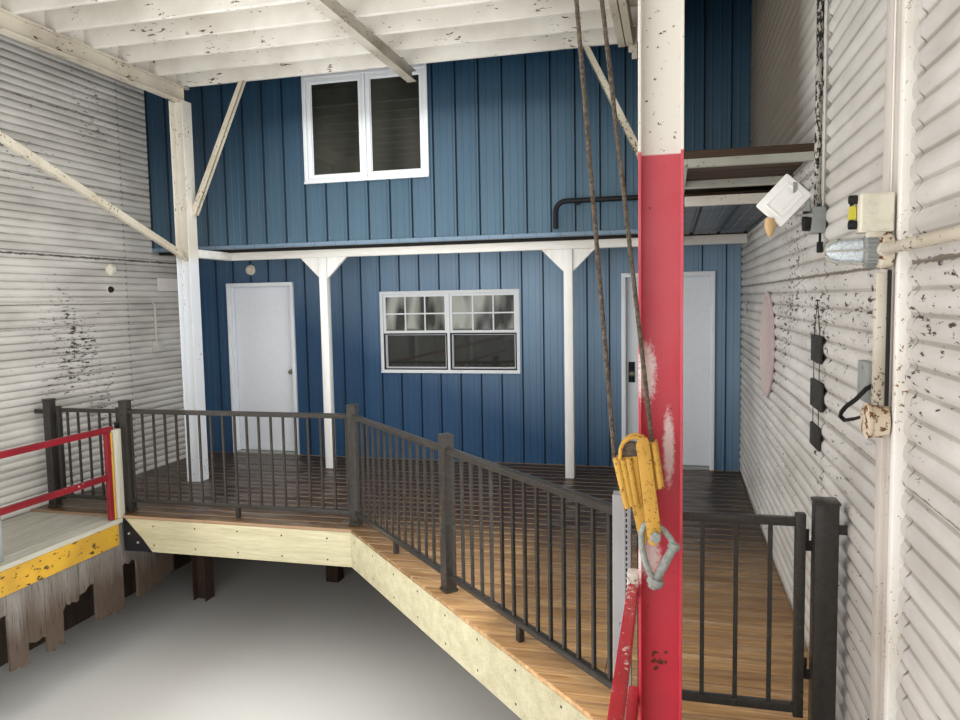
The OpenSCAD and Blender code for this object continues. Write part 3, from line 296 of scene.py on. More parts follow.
def stained_boards(name):
    """Oiled deck boards, brown and wet-looking: each board its own tone, dark figure, painted shade darkening
    towards the back, and pale arrises as painted highlights
    """
    material, shader, add, coords = begin(name, IOR=1.48)
    place = add("SeparateXYZ", [coords], out="Y")
    row = add("Math", [add("Math", [place, -DECK_FRONT], operation="ADD"), BOARD_STEP], operation="DIVIDE")
    tone = add("TexWhiteNoise", {"W": add("Math", [row], operation="FLOOR")}, noise_dimensions="1D")
    shift = add("CombineXYZ", {"X": add("Math", [tone, 9.0], operation="MULTIPLY")})
    own = add("VectorMath", {0: coords, 1: shift}, operation="ADD")
    fibres = add("Mapping", {"Vector": own, "Scale": (0.07, 1.0, 1.0)})
    figure = add("TexNoise",
                 {"Vector": fibres, "Scale": 46.0, "Detail": 7.0, "Roughness": 0.66, "Distortion": 0.7})
    broad = add("TexNoise",
                {"Vector": add("Mapping", {"Vector": own, "Scale": (0.22, 1.0, 1.0)}), "Scale": 7.0,
                 "Detail": 3.0})
    streak = add("MapRange", [figure, 0.36, 0.66])
    first = add("Mix", {0: streak, 6: linear("EFC48C"), 7: linear("B28350")}, out=2, data_type="RGBA")
    worn = add("Mix", {0: add("MapRange", [broad, 0.42, 0.68, 0.0, 0.5]), 6: first, 7: linear("855A33")},
               out=2, data_type="RGBA")
    # Darker towards the back of the deck, almost to black: painted shade
    depth = add("MapRange", [place, 0.0, 2.6, 0.0, 0.97])
    painted_shade_far = add("Mix", {0: depth, 6: worn, 7: linear("231811")}, out=2, data_type="RGBA")
    mixed = add("Mix", {0: add("MapRange", [tone, 0.0, 1.0, 0.0, 0.2]), 6: painted_shade_far, 7: linear("4A3423")},
                out=2, data_type="RGBA")
    # Pale lines along the edges of each board: painted highlight
    side = add("Math", [add("Math", [row], operation="FRACT"), 0.483], operation="SUBTRACT")
    side = add("Math", [side], operation="ABSOLUTE")
    arris_highlight = add("MapRange", [side, 0.43, 0.47, 0.0, 0.5])
    colour = add("Mix", {0: arris_highlight, 6: mixed, 7: linear("B89A7C")}, out=2, data_type="RGBA")
    matt = add("MapRange", [broad, 0.3, 0.7, 0.22, 0.48])
    surface(shader, add, colour, matt, figure, 0.0016, 0.5)
    return material


def red_and_white(name):
    """White gloss above a hand-cut line and sun-pinked red below, with overspray and a rust hole"""
    material, shader, add, coords = begin(name, IOR=1.45)
    axes = add("SeparateXYZ", [coords], out="Z")
    cloud = add("TexNoise", {"Vector": coords, "Scale": 2.6, "Detail": 4.0})
    height = add("MapRange", [axes, 1.7, 3.3])
    red = add("Mix",
              {0: add("Math", [height, cloud], operation="MULTIPLY"), 6: linear("C83648"),
               7: linear("D47A82")}, out=2, data_type="RGBA")
    spray = add("TexNoise", {"Vector": coords, "Scale": 90.0, "Detail": 3.0})
    marks = None
    for centre, reach in (((2.395, -0.6, 2.83), (0.035, 0.2, 0.12)),
                          ((2.470, -0.6, 2.56), (0.022, 0.2, 0.15)),
                          ((2.40, -0.6, 2.15), (0.05, 0.2, 0.08))):
        local = add("Mapping",
                    {"Vector": coords, "Location": tuple(-c / r for c, r in zip(centre, reach)),
                     "Scale": tuple(1 / r for r in reach)})
        far = add("VectorMath", {0: local}, out=1, operation="LENGTH")
        rough_edge = add("Math", [spray, 0.9, far], operation="MULTIPLY_ADD")
        mark = add("MapRange", [rough_edge, 1.1, 1.55, 0.95, 0.0])
        marks = mark if marks is None else add("Math", [marks, mark], operation="MAXIMUM")
    sprayed = add("Mix", {0: marks, 6: red, 7: linear("F0E6E3")}, out=2, data_type="RGBA")
    line = add("MapRange", [axes, 3.594, 3.600])
    two = add("Mix", {0: line, 6: sprayed, 7: linear("EAE6DD")}, out=2, data_type="RGBA")
    chips = add("TexNoise", {"Vector": coords, "Scale": 42.0, "Detail": 7.0, "Roughness": 0.6})
    hole = add("Mapping",
               {"Vector": coords, "Location": (-2.437 / 0.05, 0.6 / 0.3, -1.765 / 0.055),
                "Scale": (1 / 0.05, 1 / 0.3, 1 / 0.055)})
    ring = add("MapRange", [add("VectorMath", {0: hole}, out=1, operation="LENGTH"), 0.4, 1.1, 0.2, 0.0])
    chips = add("Math", [line, 0.045, chips], operation="MULTIPLY_ADD")
    rusty = add("MapRange", [add("Math", [chips, ring], operation="ADD"), 0.685, 0.71])
    colour = add("Mix", {0: rusty, 6: two, 7: linear("5B3A28")}, out=2, data_type="RGBA")
    matt = add("MapRange", [rusty, 0.0, 1.0, 0.3, 0.85])
    surface(shader, add, colour, matt, add("Math", [cloud, rusty], operation="SUBTRACT"), 0.001, 0.5)
    return material


def cast_or_rolled(name, tone, other, rough, metallic, mottle_mm=20, relief_mm=0.4):
    """Bare, galvanised or powder-coated metal: fine mottle in colour and gloss"""
    material, shader, add, coords = begin(name, Metallic=metallic)
    spangle = add("TexNoise", {"Vector": coords, "Scale": 1000 / mottle_mm, "Detail": 5.0, "Roughness": 0.6})
    colour = add("Mix", {0: add("MapRange", [spangle, 0.35, 0.65]), 6: linear(tone), 7: linear(other)},
                 out=2, data_type="RGBA")
    matt = add("MapRange", [spangle, 0.0, 1.0, rough - 0.08, rough + 0.12])
    fine = add("TexNoise", {"Vector": coords, "Scale": 700.0, "Detail": 2.0})
    surface(shader, add, colour, matt, fine, relief_mm / 1000, 0.35)
    return material


def old_planks(name, grey, brown, black):
    """Bare planks over the water, split and silvered: brown and damp towards the ends, grey near the top"""
    material, shader, add, coords = begin(name, IOR=1.4)
    z = add("SeparateXYZ", [coords], out="Z")
    fibres = add("Mapping", {"Vector": coords, "Scale": (1.0, 1.0, 0.06)})
    grain = add("TexNoise", {"Vector": fibres, "Scale": 95.0, "Detail": 7.0, "Roughness": 0.7})
    broad = add("TexNoise", {"Vector": fibres, "Scale": 9.0, "Detail": 3.0})
    wet = add("MapRange",
              [add("Math", [z, add("Math", [broad, 0.5], operation="MULTIPLY")], operation="ADD"), 0.95,
               1.28])
    body = add("Mix", {0: wet, 6: linear(brown), 7: linear(grey)}, out=2, data_type="RGBA")
    split = add("MapRange", [grain, 0.3, 0.5, 0.85, 0.0])
    colour = add("Mix", {0: split, 6: body, 7: linear(black)}, out=2, data_type="RGBA")
    surface(shader, add, colour, add("MapRange", [grain, 0.0, 1.0, 0.7, 0.95]), grain, 0.006, 0.8)
    return material


def moulded(name, tone, rough=0.35, grime="8A8270", amount=0.25):
    """Moulded plastic or rubber: even colour under a little grime, fine texture"""
    material, shader, add, coords = begin(name, IOR=1.46)
    cloud = add("TexNoise", {"Vector": coords, "Scale": 21.0, "Detail": 5.0, "Roughness": 0.6})
    dirt = add("MapRange", [cloud, 0.5, 0.8, 0.0, amount])
    colour = add("Mix", {0: dirt, 6: linear(tone), 7: linear(grime)}, out=2, data_type="RGBA")
    matt = add("MapRange", [cloud, 0.0, 1.0, rough - 0.05, rough + 0.15])
    surface(shader, add, colour, matt, add("TexNoise", {"Vector": coords, "Scale": 500.0}), 0.0003, 0.3)
    return material


def window_pane(name, light, dark, bands, dim_below=0.0):
    """Clear float glass before a dim room: sharp gloss over soft upright shapes of what stands inside"""
    material, shader, add, coords = begin(name, IOR=1.5, Roughness=0.03, Alpha=0.9)
    tall = add("Mapping", {"Vector": coords, "Scale": (1.0, 1.0, 0.25)})
    shapes = add("TexNoise", {"Vector": tall, "Scale": bands, "Detail": 1.5, "Roughness": 0.4})
    tone = add("MapRange", [shapes, 0.38, 0.6])
    z = add("SeparateXYZ", [coords], out="Z")
    low = add("MapRange", [z, dim_below + 0.03, dim_below])
    tone = add("Math", [tone, low], operation="MAXIMUM")
    colour = add("Mix", {0: tone, 6: linear(light), 7: linear(dark)}, out=2, data_type="RGBA")
    flow = add("TexNoise", {"Vector": coords, "Scale": 3.0, "Detail": 1.0})
    surface(shader, add, colour, None, flow, 0.002, 0.1)
    return material


# Modelling steps, as by hand: draw an outline, fill it, pull it, bevel it, cut it, repeat it

def deselect():
    bpy.ops.object.select_all(action="DESELECT")


def edit_all():
    bpy.ops.object.mode_set(mode="EDIT")
    bpy.ops.mesh.select_all(action="SELECT")


def done():
    """Leaves edit mode with the place in the mesh"""
    bpy.ops.object.mode_set(mode="OBJECT")
    bpy.ops.object.transform_apply()
    return bpy.context.object


def only(o):
    deselect()
    o.select_set(True)
    bpy.context.view_layer.objects.active = o
    return o


def pull(by):
    """Extrudes what is selected"""
    bpy.ops.mesh.extrude_region_move(TRANSFORM_OT_translate={"value": Vector(by)})


def normals_out():
    bpy.ops.mesh.select_all(action="SELECT")
    bpy.ops.mesh.normals_make_consistent(inside=False)


def ease(bevel, segments=1):
    """Bevels the edges of what is selected"""
    if bevel:
        bpy.ops.mesh.bevel(offset=bevel, segments=segments, affect="EDGES", clamp_overlap=True)


def drop(drafts):
    for o in drafts:
        bpy.data.objects.remove(o)


def outline(points):
    """Draws a line of points, corner by corner, and stays in edit mode with all of it selected"""
    deselect()
    bpy.ops.mesh.primitive_plane_add(size=0.01, location=points[0])
    edit_all()
    bpy.ops.mesh.merge(type="CENTER")
    for a, b in zip(points, points[1:]):
        pull(Vector(b) - Vector(a))
    bpy.ops.mesh.select_all(action="SELECT")


def solid(points, by, bevel=0.0, segments=1):
    """A filled outline pulled into a solid, with its edges eased"""
    outline(points)
    bpy.ops.mesh.edge_face_add()
    pull(by)
    normals_out()
    ease(bevel, segments)
    return done()


def strip(points, by):
    """A bent sheet: an open outline pulled along one way"""
    outline(points)
    pull(by)
    return done()


def box(low, high, bevel=0.003, segments=1):
    """A sawn or folded block with eased edges, between any two opposite corners"""
    low, high = (Vector(ends) for ends in zip(*map(sorted, zip(low, high))))
    deselect()
    bpy.ops.mesh.primitive_cube_add(size=1, location=(low + high) / 2)
    bpy.context.object.scale = high - low
    bpy.ops.object.transform_apply()
    edit_all()
    ease(bevel, segments)
    return done()


def rod(start, end, radius, sides=16, bevel=0.0):
    """A turned rod or tube end between two points, with eased rims"""
    start, end = Vector(start), Vector(end)
    deselect()
    bpy.ops.mesh.primitive_cylinder_add(vertices=sides, radius=radius, depth=(end - start).length,
                                        location=(start + end) / 2,
                                        rotation=(end - start).to_track_quat("Z", "Y").to_euler())
    o = bpy.context.object
    bpy.ops.object.transform_apply()
    edit_all()
    if bevel:
        mesh = bmesh.from_edit_mesh(o.data)
        bpy.ops.mesh.select_all(action="DESELECT")
        for face in mesh.faces:
            face.select = len(face.verts) > 4
        bmesh.update_edit_mesh(o.data)
        bpy.ops.mesh.region_to_loop()
        bpy.ops.mesh.bevel(offset=bevel, segments=2, affect="EDGES")
    return done()


def turned(at, axis, out, profile, sides=24):
    """A profile of steps along the axis and distances out from it, spun round"""
    outline([Vector(at) + axis * along + out * reach for along, reach in profile])
    bpy.ops.mesh.spin(steps=sides, angle=2 * math.pi, center=at, axis=axis)
    bpy.ops.mesh.select_all(action="SELECT")
    bpy.ops.mesh.remove_doubles(threshold=0.0001)
    normals_out()
    return done()


def cut(o, point, normal, fill=True):
    """Saws a piece along a plane and drops what lies on the normal's side"""
    only(o)
    edit_all()
    bpy.ops.mesh.bisect(plane_co=point, plane_no=normal, use_fill=fill, clear_outer=True)
    return done()


def thicken(o, thickness, offset=0.0):
    only(o)
    sheet = o.modifiers.new("sheet", "SOLIDIFY")
    sheet.thickness = thickness
    sheet.offset = offset
    bpy.ops.object.modifier_apply(modifier="sheet")
    return o


def open_up(o, low, high):
    """Cuts a rectangular opening through a piece"""
    cutter = box(low, high, 0)
    only(o)
    gap = o.modifiers.new("gap", "BOOLEAN")
    gap.operation = "DIFFERENCE"
    gap.object = cutter
    gap.solver = "EXACT"
    bpy.ops.object.modifier_apply(modifier="gap")
    drop([cutter])
    return o


def moved(o, by, turn=0.0, centre=(0, 0, 0), axis="Z"):
    """A copy of a piece at another place, with its own mesh"""
    only(o)
    bpy.ops.object.duplicate()
    new = bpy.context.object
    spin = Matrix.Translation(Vector(centre)) @ Matrix.Rotation(turn, 4,
                                                                axis) @ Matrix.Translation(-Vector(centre))
    new.matrix_world = Matrix.Translation(Vector(by)) @ spin
    bpy.ops.object.transform_apply()
    return new


def turned_about(parts, turn, centre, axis="Z"):
    """The same parts, turned about a point; the drafts go"""
    new = [moved(o, (0, 0, 0), turn, centre, axis) for o in parts]
    drop(parts)
    return new


def flipped(o):
    """A mirrored copy on the other side of the slip"""
    only(o)
    bpy.ops.object.duplicate()
    new = bpy.context.object
    new.matrix_world = Matrix.Scale(-1, 4, (1, 0, 0))
    bpy.ops.object.transform_apply()
    edit_all()
    normals_out()
    return done()


def finish_with(o, material):
    o.data.materials.clear()
    o.data.materials.append(material)


def piece(name, parts, material, nodes=(), body=HOUSE, smooth=35):
    """Joins what was modelled into one piece, gives it its finish, and lets it ride and replace"""
    parts = parts if isinstance(parts, list) else [parts]
    deselect()
    for o in parts:
        o.select_set(True)
    bpy.context.view_layer.objects.active = parts[0]
    if len(parts) > 1:
        bpy.ops.object.join()
    o = bpy.context.object
    o.name = name
    o.data.name = name
    bpy.ops.object.shade_smooth_by_angle(angle=math.radians(smooth))
    finish_with(o, material)
    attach(o, body)
    if nodes:
        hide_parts(*nodes)
    return o


# The finishes of this boathouse

# The lap heights below give painted shadow lines at the sheet laps; the seam places give painted shadow lines
# at the cut edges of the sheets
LEFT_SHEET = corrugated_paint("painted_corrugated_steel_left", "D4D1CB", "B1ADA7", "4F4A42", "46413D",
                              PITCH, GROOVE,
                              ((3.590, 0.009, 0.95), (4.297, 0.004, 0.7), (4.992, 0.004, 0.8),
                               (2.907, 0.004, 0.5)), (3.575, 1.225, -1.125, -3.475), (2.75, 0.9))
# Its last pair starts the painted shade above the balcony, at y 0.75 and z 3.75
RIGHT_SHEET = corrugated_paint("painted_corrugated_steel_right", "CBC8C3", "ABA7A1", "6F675C", "3F3A36",
                               RIGHT_PITCH, RIGHT_GROOVE, ((3.188, 0.006, 1.0), (2.521, 0.004, 0.7)),
                               (2.60, 1.246, 0.47, -0.86, -3.20), (3.02, 0.35), (0.75, 3.75))
WHITE_SHEET = corrugated_paint("painted_corrugated_steel", "CFCBC3", "B1ABA2", "5C564E", "4A4440", PITCH,
                               GROOVE, (), (), (2.5, 0.5))
# Each ribbed sheet gets lighter towards one height and one side as painted light; its dark colour is painted
# shade beside the ribs
UPPER_BLUE = prepainted_sheet("prepainted_blue_cladding_upper", "1E3A4F", "4B6779", "0E1A25", UPPER_RIB,
                              5.3, 3.8, -0.12)
LOWER_BLUE = prepainted_sheet("prepainted_blue_cladding_lower", "26496A", "7E9AB2", "0F2033", LOWER_RIB,
                              2.0, 3.6, 0.45)
FLASHING = prepainted_sheet("drip_flashing", "5C7083", "6F8496", "5C7083", 0.0, 0.0, 1.0)
SOFFIT_SHEET = prepainted_sheet("dark_soffit_sheet", "2A3138", "3A444C", "12161B", 0.05, 3.0, 4.2)
ROOF_SHEET = cast_or_rolled("weathered_galvanised_roofing", "A7ABAD", "868B8E", 0.5, 0.4, 60)
WHITE_STEEL = painted_steel("white_gloss_on_steel", "E2DED3", "D2CCBE", "6F5438", 0.34, 0.665, 26, (1, 1, 1),
                            (("E2E6EA", 3.62), ("46382F", 1.26)))
GREY_STEEL = painted_steel("greyed_white_beam_paint", "D3CCBC", "B8B0A0", "6A5338", 0.5, 0.63, 30,
                           (1, 0.4, 1))
CREAM_STEEL = painted_steel("stained_cream_paint", "D2CBB9", "B8AE99", "6F5A40", 0.5, 0.63, 24)
BEIGE_PAINT = painted_steel("aged_column_paint", "CFCBC3", "B6AFA2", "7E6A4C", 0.45, 0.635, 18)
RED_WHITE = red_and_white("red_and_white_gloss_on_steel")
RED_STEEL = painted_steel("red_paint_on_bar", "BE2530", "9C1C24", "DDC9C0", 0.38, 0.62, 20)
DARK_RED = painted_steel("dull_red_paint_on_bar", "86202A", "6C1A22", "C9A7A0", 0.42, 0.69, 22)
YELLOW_PAINT = painted_steel("yellow_paint_on_planks", "C99E35", "A88232", "4F3D28", 0.55, 0.60, 34,
                             (1, 0.5, 1))
YELLOW_STEEL = painted_steel("chipped_yellow_paint", "D8AC4C", "B98A3A", "6B4A2A", 0.5, 0.57, 12)
WHITE_JOIST = painted_steel("white_paint_on_joists", "E6E3DB", "CFCAC0", "5A4C3D", 0.5, 0.652, 22,
                            (0.3, 1, 1))
MIDDLE_PAINT = painted_steel("dusty_beam_paint", "BDB7AA", "A09989", "5F4E3A", 0.5, 0.62, 24)
# One paint on the wall columns in two copies: lighter as painted light, darker as painted shade
COLUMN_LIT = painted_steel("column_paint_painted_light", "F0EDE7", "DDD8CE", "8A6B45", 0.45, 0.635, 14)
COLUMN_SHADED = painted_steel("column_paint_painted_shade", "C9C2BA", "B5ADA3", "7E6A4C", 0.5, 0.64, 16)
WHITE_ACROSS = timber("white_painted_header", "F2F2EE", "DFDDD5", "A9A49A", 0, 0.42, 10, 0.1, True)
WHITE_UPRIGHT = timber("white_painted_posts", "F3F4F2", "E2E1DB", "A9A49A", 2, 0.42, 10, 0.1, True)
# White loft boards coloured darker than their paint so the gaps between the joists read dark: painted shade
LOFT_PAINT_SHADED = timber("white_loft_boards_painted_shade", "C6C1B5", "ABA598", "54493C", 1, 0.6, 9, 0.4, True)
PINE = timber("treated_pine_along", "C5BFA0", "A69F7F", "54452C", 0, 0.6, 10, 0.7)
FLOOR_BOARDS = timber("plain_floor_boards", "A98C68", "8A6D4B", "59432C", 0, 0.55, 8, 0.5)
LINING = timber("painted_inner_lining", "CFCBC2", "BDB8AD", "9D978B", 2, 0.6, 12, 0.1, True)
BULK_WOOD = old_planks("weathered_bulkhead_planks", "76716B", "4C4138", "221D19")
OLD_PLANKS = old_planks("silvered_split_planks", "827E78", "54473D", "221B17")
WET_PILE = old_planks("wet_pile_timber", "5C4A3F", "40322A", "1C1613")
RAIL_BOARD = timber("greyed_white_board", "C2BFAF", "A5A192", "5D584C", 2, 0.6, 12, 0.3, True)
GREY_BOARDS = timber("worn_grey_walkway_boards", "BBB9AF", "A09D8D", "5A554A", 1, 0.7, 14, 0.25)
BALCONY_WOOD = timber("brown_balcony_planks", "4A382A", "2E231B", "1A130E", 0, 0.7, 9, 0.5)
DECKING = stained_boards("oiled_deck_boards")
BRONZE = cast_or_rolled("bronze_powder_coat", "3F3C38", "322F2C", 0.28, 0.2, 30, 0.15)
BLACK_STEEL = cast_or_rolled("black_enamel_on_steel", "15161B", "202127", 0.4, 0.2, 25, 0.2)
GALVANISED = cast_or_rolled("dull_galvanised_steel", "B2B7B2", "8F9591", 0.5, 0.45, 16, 0.3)
PALE_GALVANISED = painted_steel("pale_galvanised_frame", "B4B4AB", "93938A", "6E5A3E", 0.5, 0.64, 22)
RUSTY_ROPE = cast_or_rolled("rusty_wire_rope", "776A5C", "453C34", 0.7, 0.2, 12, 0.6)
VINYL = moulded("white_window_vinyl", "D3D7DA", 0.3, "A09D93", 0.15)
DOOR_PAINT = moulded("white_door_enamel", "E9EEF4", 0.36, "B4B6B4", 0.15)
BEIGE_PLASTIC = moulded("aged_beige_housing", "DAD5C4", 0.42, "7D6B4A", 0.4)
GREY_PLASTIC = moulded("grey_moulded_box", "8D918F", 0.45, "5B5A55", 0.4)
BLACK_RUBBER = moulded("black_rubber", "17181A", 0.55, "3A3834", 0.3)
PANE = window_pane("float_glass", "A3A79F", "2F312E", 6.0, 2.77)
DARK_PANE = window_pane("float_glass_upper", "34352F", "1E1F1C", 2.5)
YELLOW_TAG = moulded("yellow_moulded_tag", "C2BB45", 0.4, "8A7C2A", 0.3)
RUSTY_BOX = painted_steel("rusting_cast_box", "D3CAB8", "B99C78", "6B4527", 0.6, 0.56, 20)
BARE_SIGN = moulded("bare_dark_board", "2E2C2B", 0.6, "5A5450", 0.3)
JAR_GLASS = cast_or_rolled("thick_jar_glass", "DCE4E8", "AEB9BF", 0.12, 0.0, 10, 0.2)
NICKEL = cast_or_rolled("satin_nickel", "B4AC9A", "8F8878", 0.28, 1.0, 8, 0.1)
FLAKED_CONDUIT = painted_steel("flaked_white_conduit", "B4B1AA", "8A8680", "252321", 0.5, 0.455, 11,
                               (1, 1, 0.4))
LEVEL_PAINT = painted_steel("dusty_cream_conduit", "CDC6B8", "A69B88", "5C4F40", 0.55, 0.60, 13, (1, 0.5, 1))
SLOTTED_GREY = painted_steel("grey_primer_on_channel", "AAACAE", "989A9B", "54504A", 0.5, 0.70, 20)
CONDUIT_PAINT = moulded("painted_conduit", "C4C1BA", 0.5, "807868", 0.4)
LAMP_WHITE = moulded("white_lamp_housing", "F4F4F2", 0.3, "D8D5CE", 0.15)
TAN_PLASTIC = moulded("yellowed_sensor_housing", "C9A878", 0.4, "8A6A42", 0.4)
BARE_PLATE = moulded("bare_white_plate", "E4DEDA", 0.4, "B7A59E", 0.3)
ROUND_SIGN = moulded("bare_round_tin", "B9A7A4", 0.5, "8F7F7C", 0.3)


# Shell: corrugated side walls, ribbed blue walls, roof

def wave_line(z0, z1, pitch, groove):
    """Heights and depths up a corrugated sheet, eight points a wave: broad crests and narrow hollows"""
    step = pitch / 8
    marks = [groove + i * step
             for i in range(math.ceil((z0 - groove) / step), math.floor((z1 - groove) / step) + 1)]
    heights = [z0] + [z for z in marks if z0 + 0.002 < z < z1 - 0.002] + [z1]
    return [(z, WAVE * (0.5 + 0.5 * math.cos(2 * math.pi * (z - groove) / pitch)) ** 2.6) for z in heights]


def corrugated(face, into, along, a, b, z0, z1, pitch=PITCH, groove=GROOVE):
    """One corrugated sheet with level waves on a wall face, its depth going into the wall"""
    line = wave_line(z0, z1, pitch, groove)
    if along == "Y":
        return thicken(strip([(face + into * d, a, z) for z, d in line], (0, b - a, 0)), 0.0014)
    return thicken(strip([(a, face + into * d, z) for z, d in line], (b - a, 0, 0)), 0.0014)


def lapped_sheets(face, into, along, edges, laps, pitch=PITCH, groove=GROOVE):
    """Rows and columns of corrugated sheets; each laps the one below and beside it by a thickness"""
    parts = []
    for row, (z0, z1) in enumerate(zip(laps, laps[1:])):
        drafts = {}
        for column, (a, b) in enumerate(zip(edges, edges[1:])):
            out = -into * 0.0015 * (row % 2 + column % 2)
            size = round(b - a, 3)
            if size not in drafts:
                drafts[size] = (a, corrugated(face, into, along, a, b + 0.04, max(z0 - 0.035, laps[0]), z1,
                                                pitch, groove))
            start, draft = drafts[size]
            by = (out, a - start, 0) if along == "Y" else (a - start, out, 0)
            parts.append(moved(draft, by, chance.uniform(-0.0006, 0.0006), (face, a, z0) if along == "Y"
                               else (a, face, z0), "X" if along == "Y" else "Y"))
        drop(draft for start, draft in drafts.values())
    return parts


def ribs(x0, x1, shift=0.0):
    """Places and depths across ribbed cladding: tall ribs with two flat stiffeners between them"""
    shape = [(-0.019, 0.018), (-0.009, 0.0), (0.009, 0.0), (0.019, 0.018)]
    for middle in (RIB / 3, 2 * RIB / 3):
        shape += [(middle - 0.010, 0.018), (middle - 0.006, 0.015), (middle + 0.006, 0.015),
                  (middle + 0.010, 0.018)]
    line = [(i * RIB + shift + t, d) for i in range(math.floor((x0 - shift) / RIB) - 1,
                                                    math.ceil((x1 - shift) / RIB) + 1) for t, d in shape]
    inside = [p for p in line if x0 + 0.001 < p[0] < x1 - 0.001]
    ends = []
    for x in (x0, x1):
        before = max(p for p in line if p[0] <= x)
        after = min(p for p in line if p[0] > x)
        ends.append((x, before[1] + (after[1] - before[1]) * (x - before[0]) / (after[0] - before[0])))
    return [ends[0]] + inside + [ends[1]]


def cladding(face, into, x0, x1, z0, z1, shift=0.0):
    return thicken(strip([(x, face + into * d, z0) for x, d in ribs(x0, x1, shift)], (0, 0, z1 - z0)), 0.001)


def roof_cut(o):
    """Saws a wall piece to both slopes of the roof"""
    for side in (-1, 1):
        cut(o, (0, 0, RIDGE - 0.002), (side * SLOPE, 0, 1))
    return o


def around(x0, x1, z0, z1, hole):
    """The four rectangles that leave a window hole free"""
    a, b, low, high = hole
    return [(x0, a, z0, z1), (b, x1, z0, z1), (a, b, z0, low), (a, b, high, z1)]


LAPS = [WALL_LOW] + [GROOVE + PITCH * (13.75 - 10 * k) for k in (5, 4, 3, 2, 1, 0)] + [EAVES]
RIGHT_LAPS = [WALL_LOW] + [RIGHT_GROOVE + RIGHT_PITCH * (k * 8.75 - 6.0)
                           for k in (-2, -1, 0, 1, 2, 3)] + [EAVES]
SEAMS = [FRONT, -8.175, -5.825, -3.475, -1.125, 1.225, 3.575]
RIGHT_SEAMS = [FRONT, -7.90, -5.55, -3.20, -0.86, 0.47, 2.60]
SIDE_HOLE = (low_of("right_cabin_wall").y + 2.091, low_of("right_cabin_wall").y + 2.991)
SIDE_MIDDLE = (SIDE_HOLE[0] + SIDE_HOLE[1]) / 2
LOW_CEILING = 3.675
CORE_BACK = 0.14
LOW_SILL, LOW_HEAD = low_of("lower_windows").z, high_of("lower_windows").z
HIGH_SILL, HIGH_HEAD = low_of("upper_windows").z, high_of("upper_windows").z

for side, name in ((-1, "left"), (1, "right")):
    seams, laps, pitch, groove = (SEAMS, LAPS, PITCH, GROOVE) if side < 0 else (RIGHT_SEAMS, RIGHT_LAPS,
                                                                                RIGHT_PITCH, RIGHT_GROOVE)
    inner = lapped_sheets(side * INNER, side, "Y", seams + [CABIN], laps, pitch, groove)
    inner.append(corrugated(side * INNER, side, "Y", CABIN, PORCH, DECK, LOW_CEILING, pitch, groove))
    outer = lapped_sheets(side * WALL, -side, "Y", SEAMS + [CABIN], LAPS)
    core_in, core_out, middle_x = side * (INNER + 0.025), side * (WALL - 0.025), side * (INNER + WALL) / 2
    studs = box((core_in, FRONT + 0.002, WALL_LOW), (core_out, CABIN, EAVES - 0.01), 0.002)
    cap = box((middle_x - 0.07, FRONT - 0.004, WALL_LOW), (middle_x + 0.07, FRONT + 0.06, EAVES), 0.004)
    piece(name + "_wall_sheets", inner + outer, LEFT_SHEET if side < 0 else RIGHT_SHEET,
          [name + "_wall"])
    piece(name + "_wall_framing", [studs, cap], LINING)
    holes = [(*SIDE_HOLE, LOW_SILL, LOW_HEAD), (*SIDE_HOLE, HIGH_SILL, HIGH_HEAD)]
    middle = (LOW_HEAD + HIGH_SILL) / 2
    cabin_outer = []
    for z_low, z_high, hole in ((WALL_LOW, middle, holes[0]), (middle, EAVES, holes[1])):
        for a, b, z0, z1 in around(CABIN, BACK, z_low, z_high, hole):
            cabin_outer.append(corrugated(side * WALL, -side, "Y", a, b, z0, z1))
    lining = box((core_in, CABIN, WALL_LOW), (core_out, BACK - 0.002, EAVES - 0.01), 0.002)
    faces = [box((side * INNER, y0, z0), (side * (INNER + 0.03), BACK - 0.14, z1), 0.002)
             for y0, z0, z1 in ((PORCH + CORE_BACK, DECK, LOW_CEILING),
                                (CABIN + CORE_BACK, 3.9, EAVES - 0.01))]
    for face, (a, b, z0, z1) in zip(faces, holes):
        for o in (lining, face):
            open_up(o, (middle_x - 0.2, a, z0), (middle_x + 0.2, b, z1))
    piece(name + "_cabin_sheets", cabin_outer, WHITE_SHEET, [name + "_cabin_wall"])
    piece(name + "_cabin_framing", [lining] + faces, LINING)
    trims = [box((side * WALL - 0.012 * (side > 0), y - 0.05, WALL_LOW),
                 (side * WALL + 0.012, y + 0.05, EAVES), 0.003) for y in (FRONT + 0.05, BACK - 0.05)]
    piece(name + "_corner_trims", trims, BEIGE_PAINT)

gable_seams, gable_laps = [-INNER, -0.9, 1.45, INNER], [LOFT, LOFT + 10 * PITCH, RIDGE]
gable = lapped_sheets(FRONT, 1, "X", gable_seams, gable_laps)
gable += lapped_sheets(FRONT + 0.14, -1, "X", gable_seams, gable_laps)
for sheet in gable:
    roof_cut(sheet)
piece("front_gable_sheets", gable, WHITE_SHEET, ["front_gable"])
core = roof_cut(solid([(-INNER, FRONT + 0.025, LOFT), (INNER, FRONT + 0.025, LOFT),
                       (INNER, FRONT + 0.025, RIDGE), (-INNER, FRONT + 0.025, RIDGE)], (0, 0.09, 0)))
drip = box((-INNER, FRONT - 0.006, LOFT - 0.012), (INNER, FRONT + 0.146, LOFT + 0.02), 0.004)
piece("front_gable_framing", [core, drip], LINING)

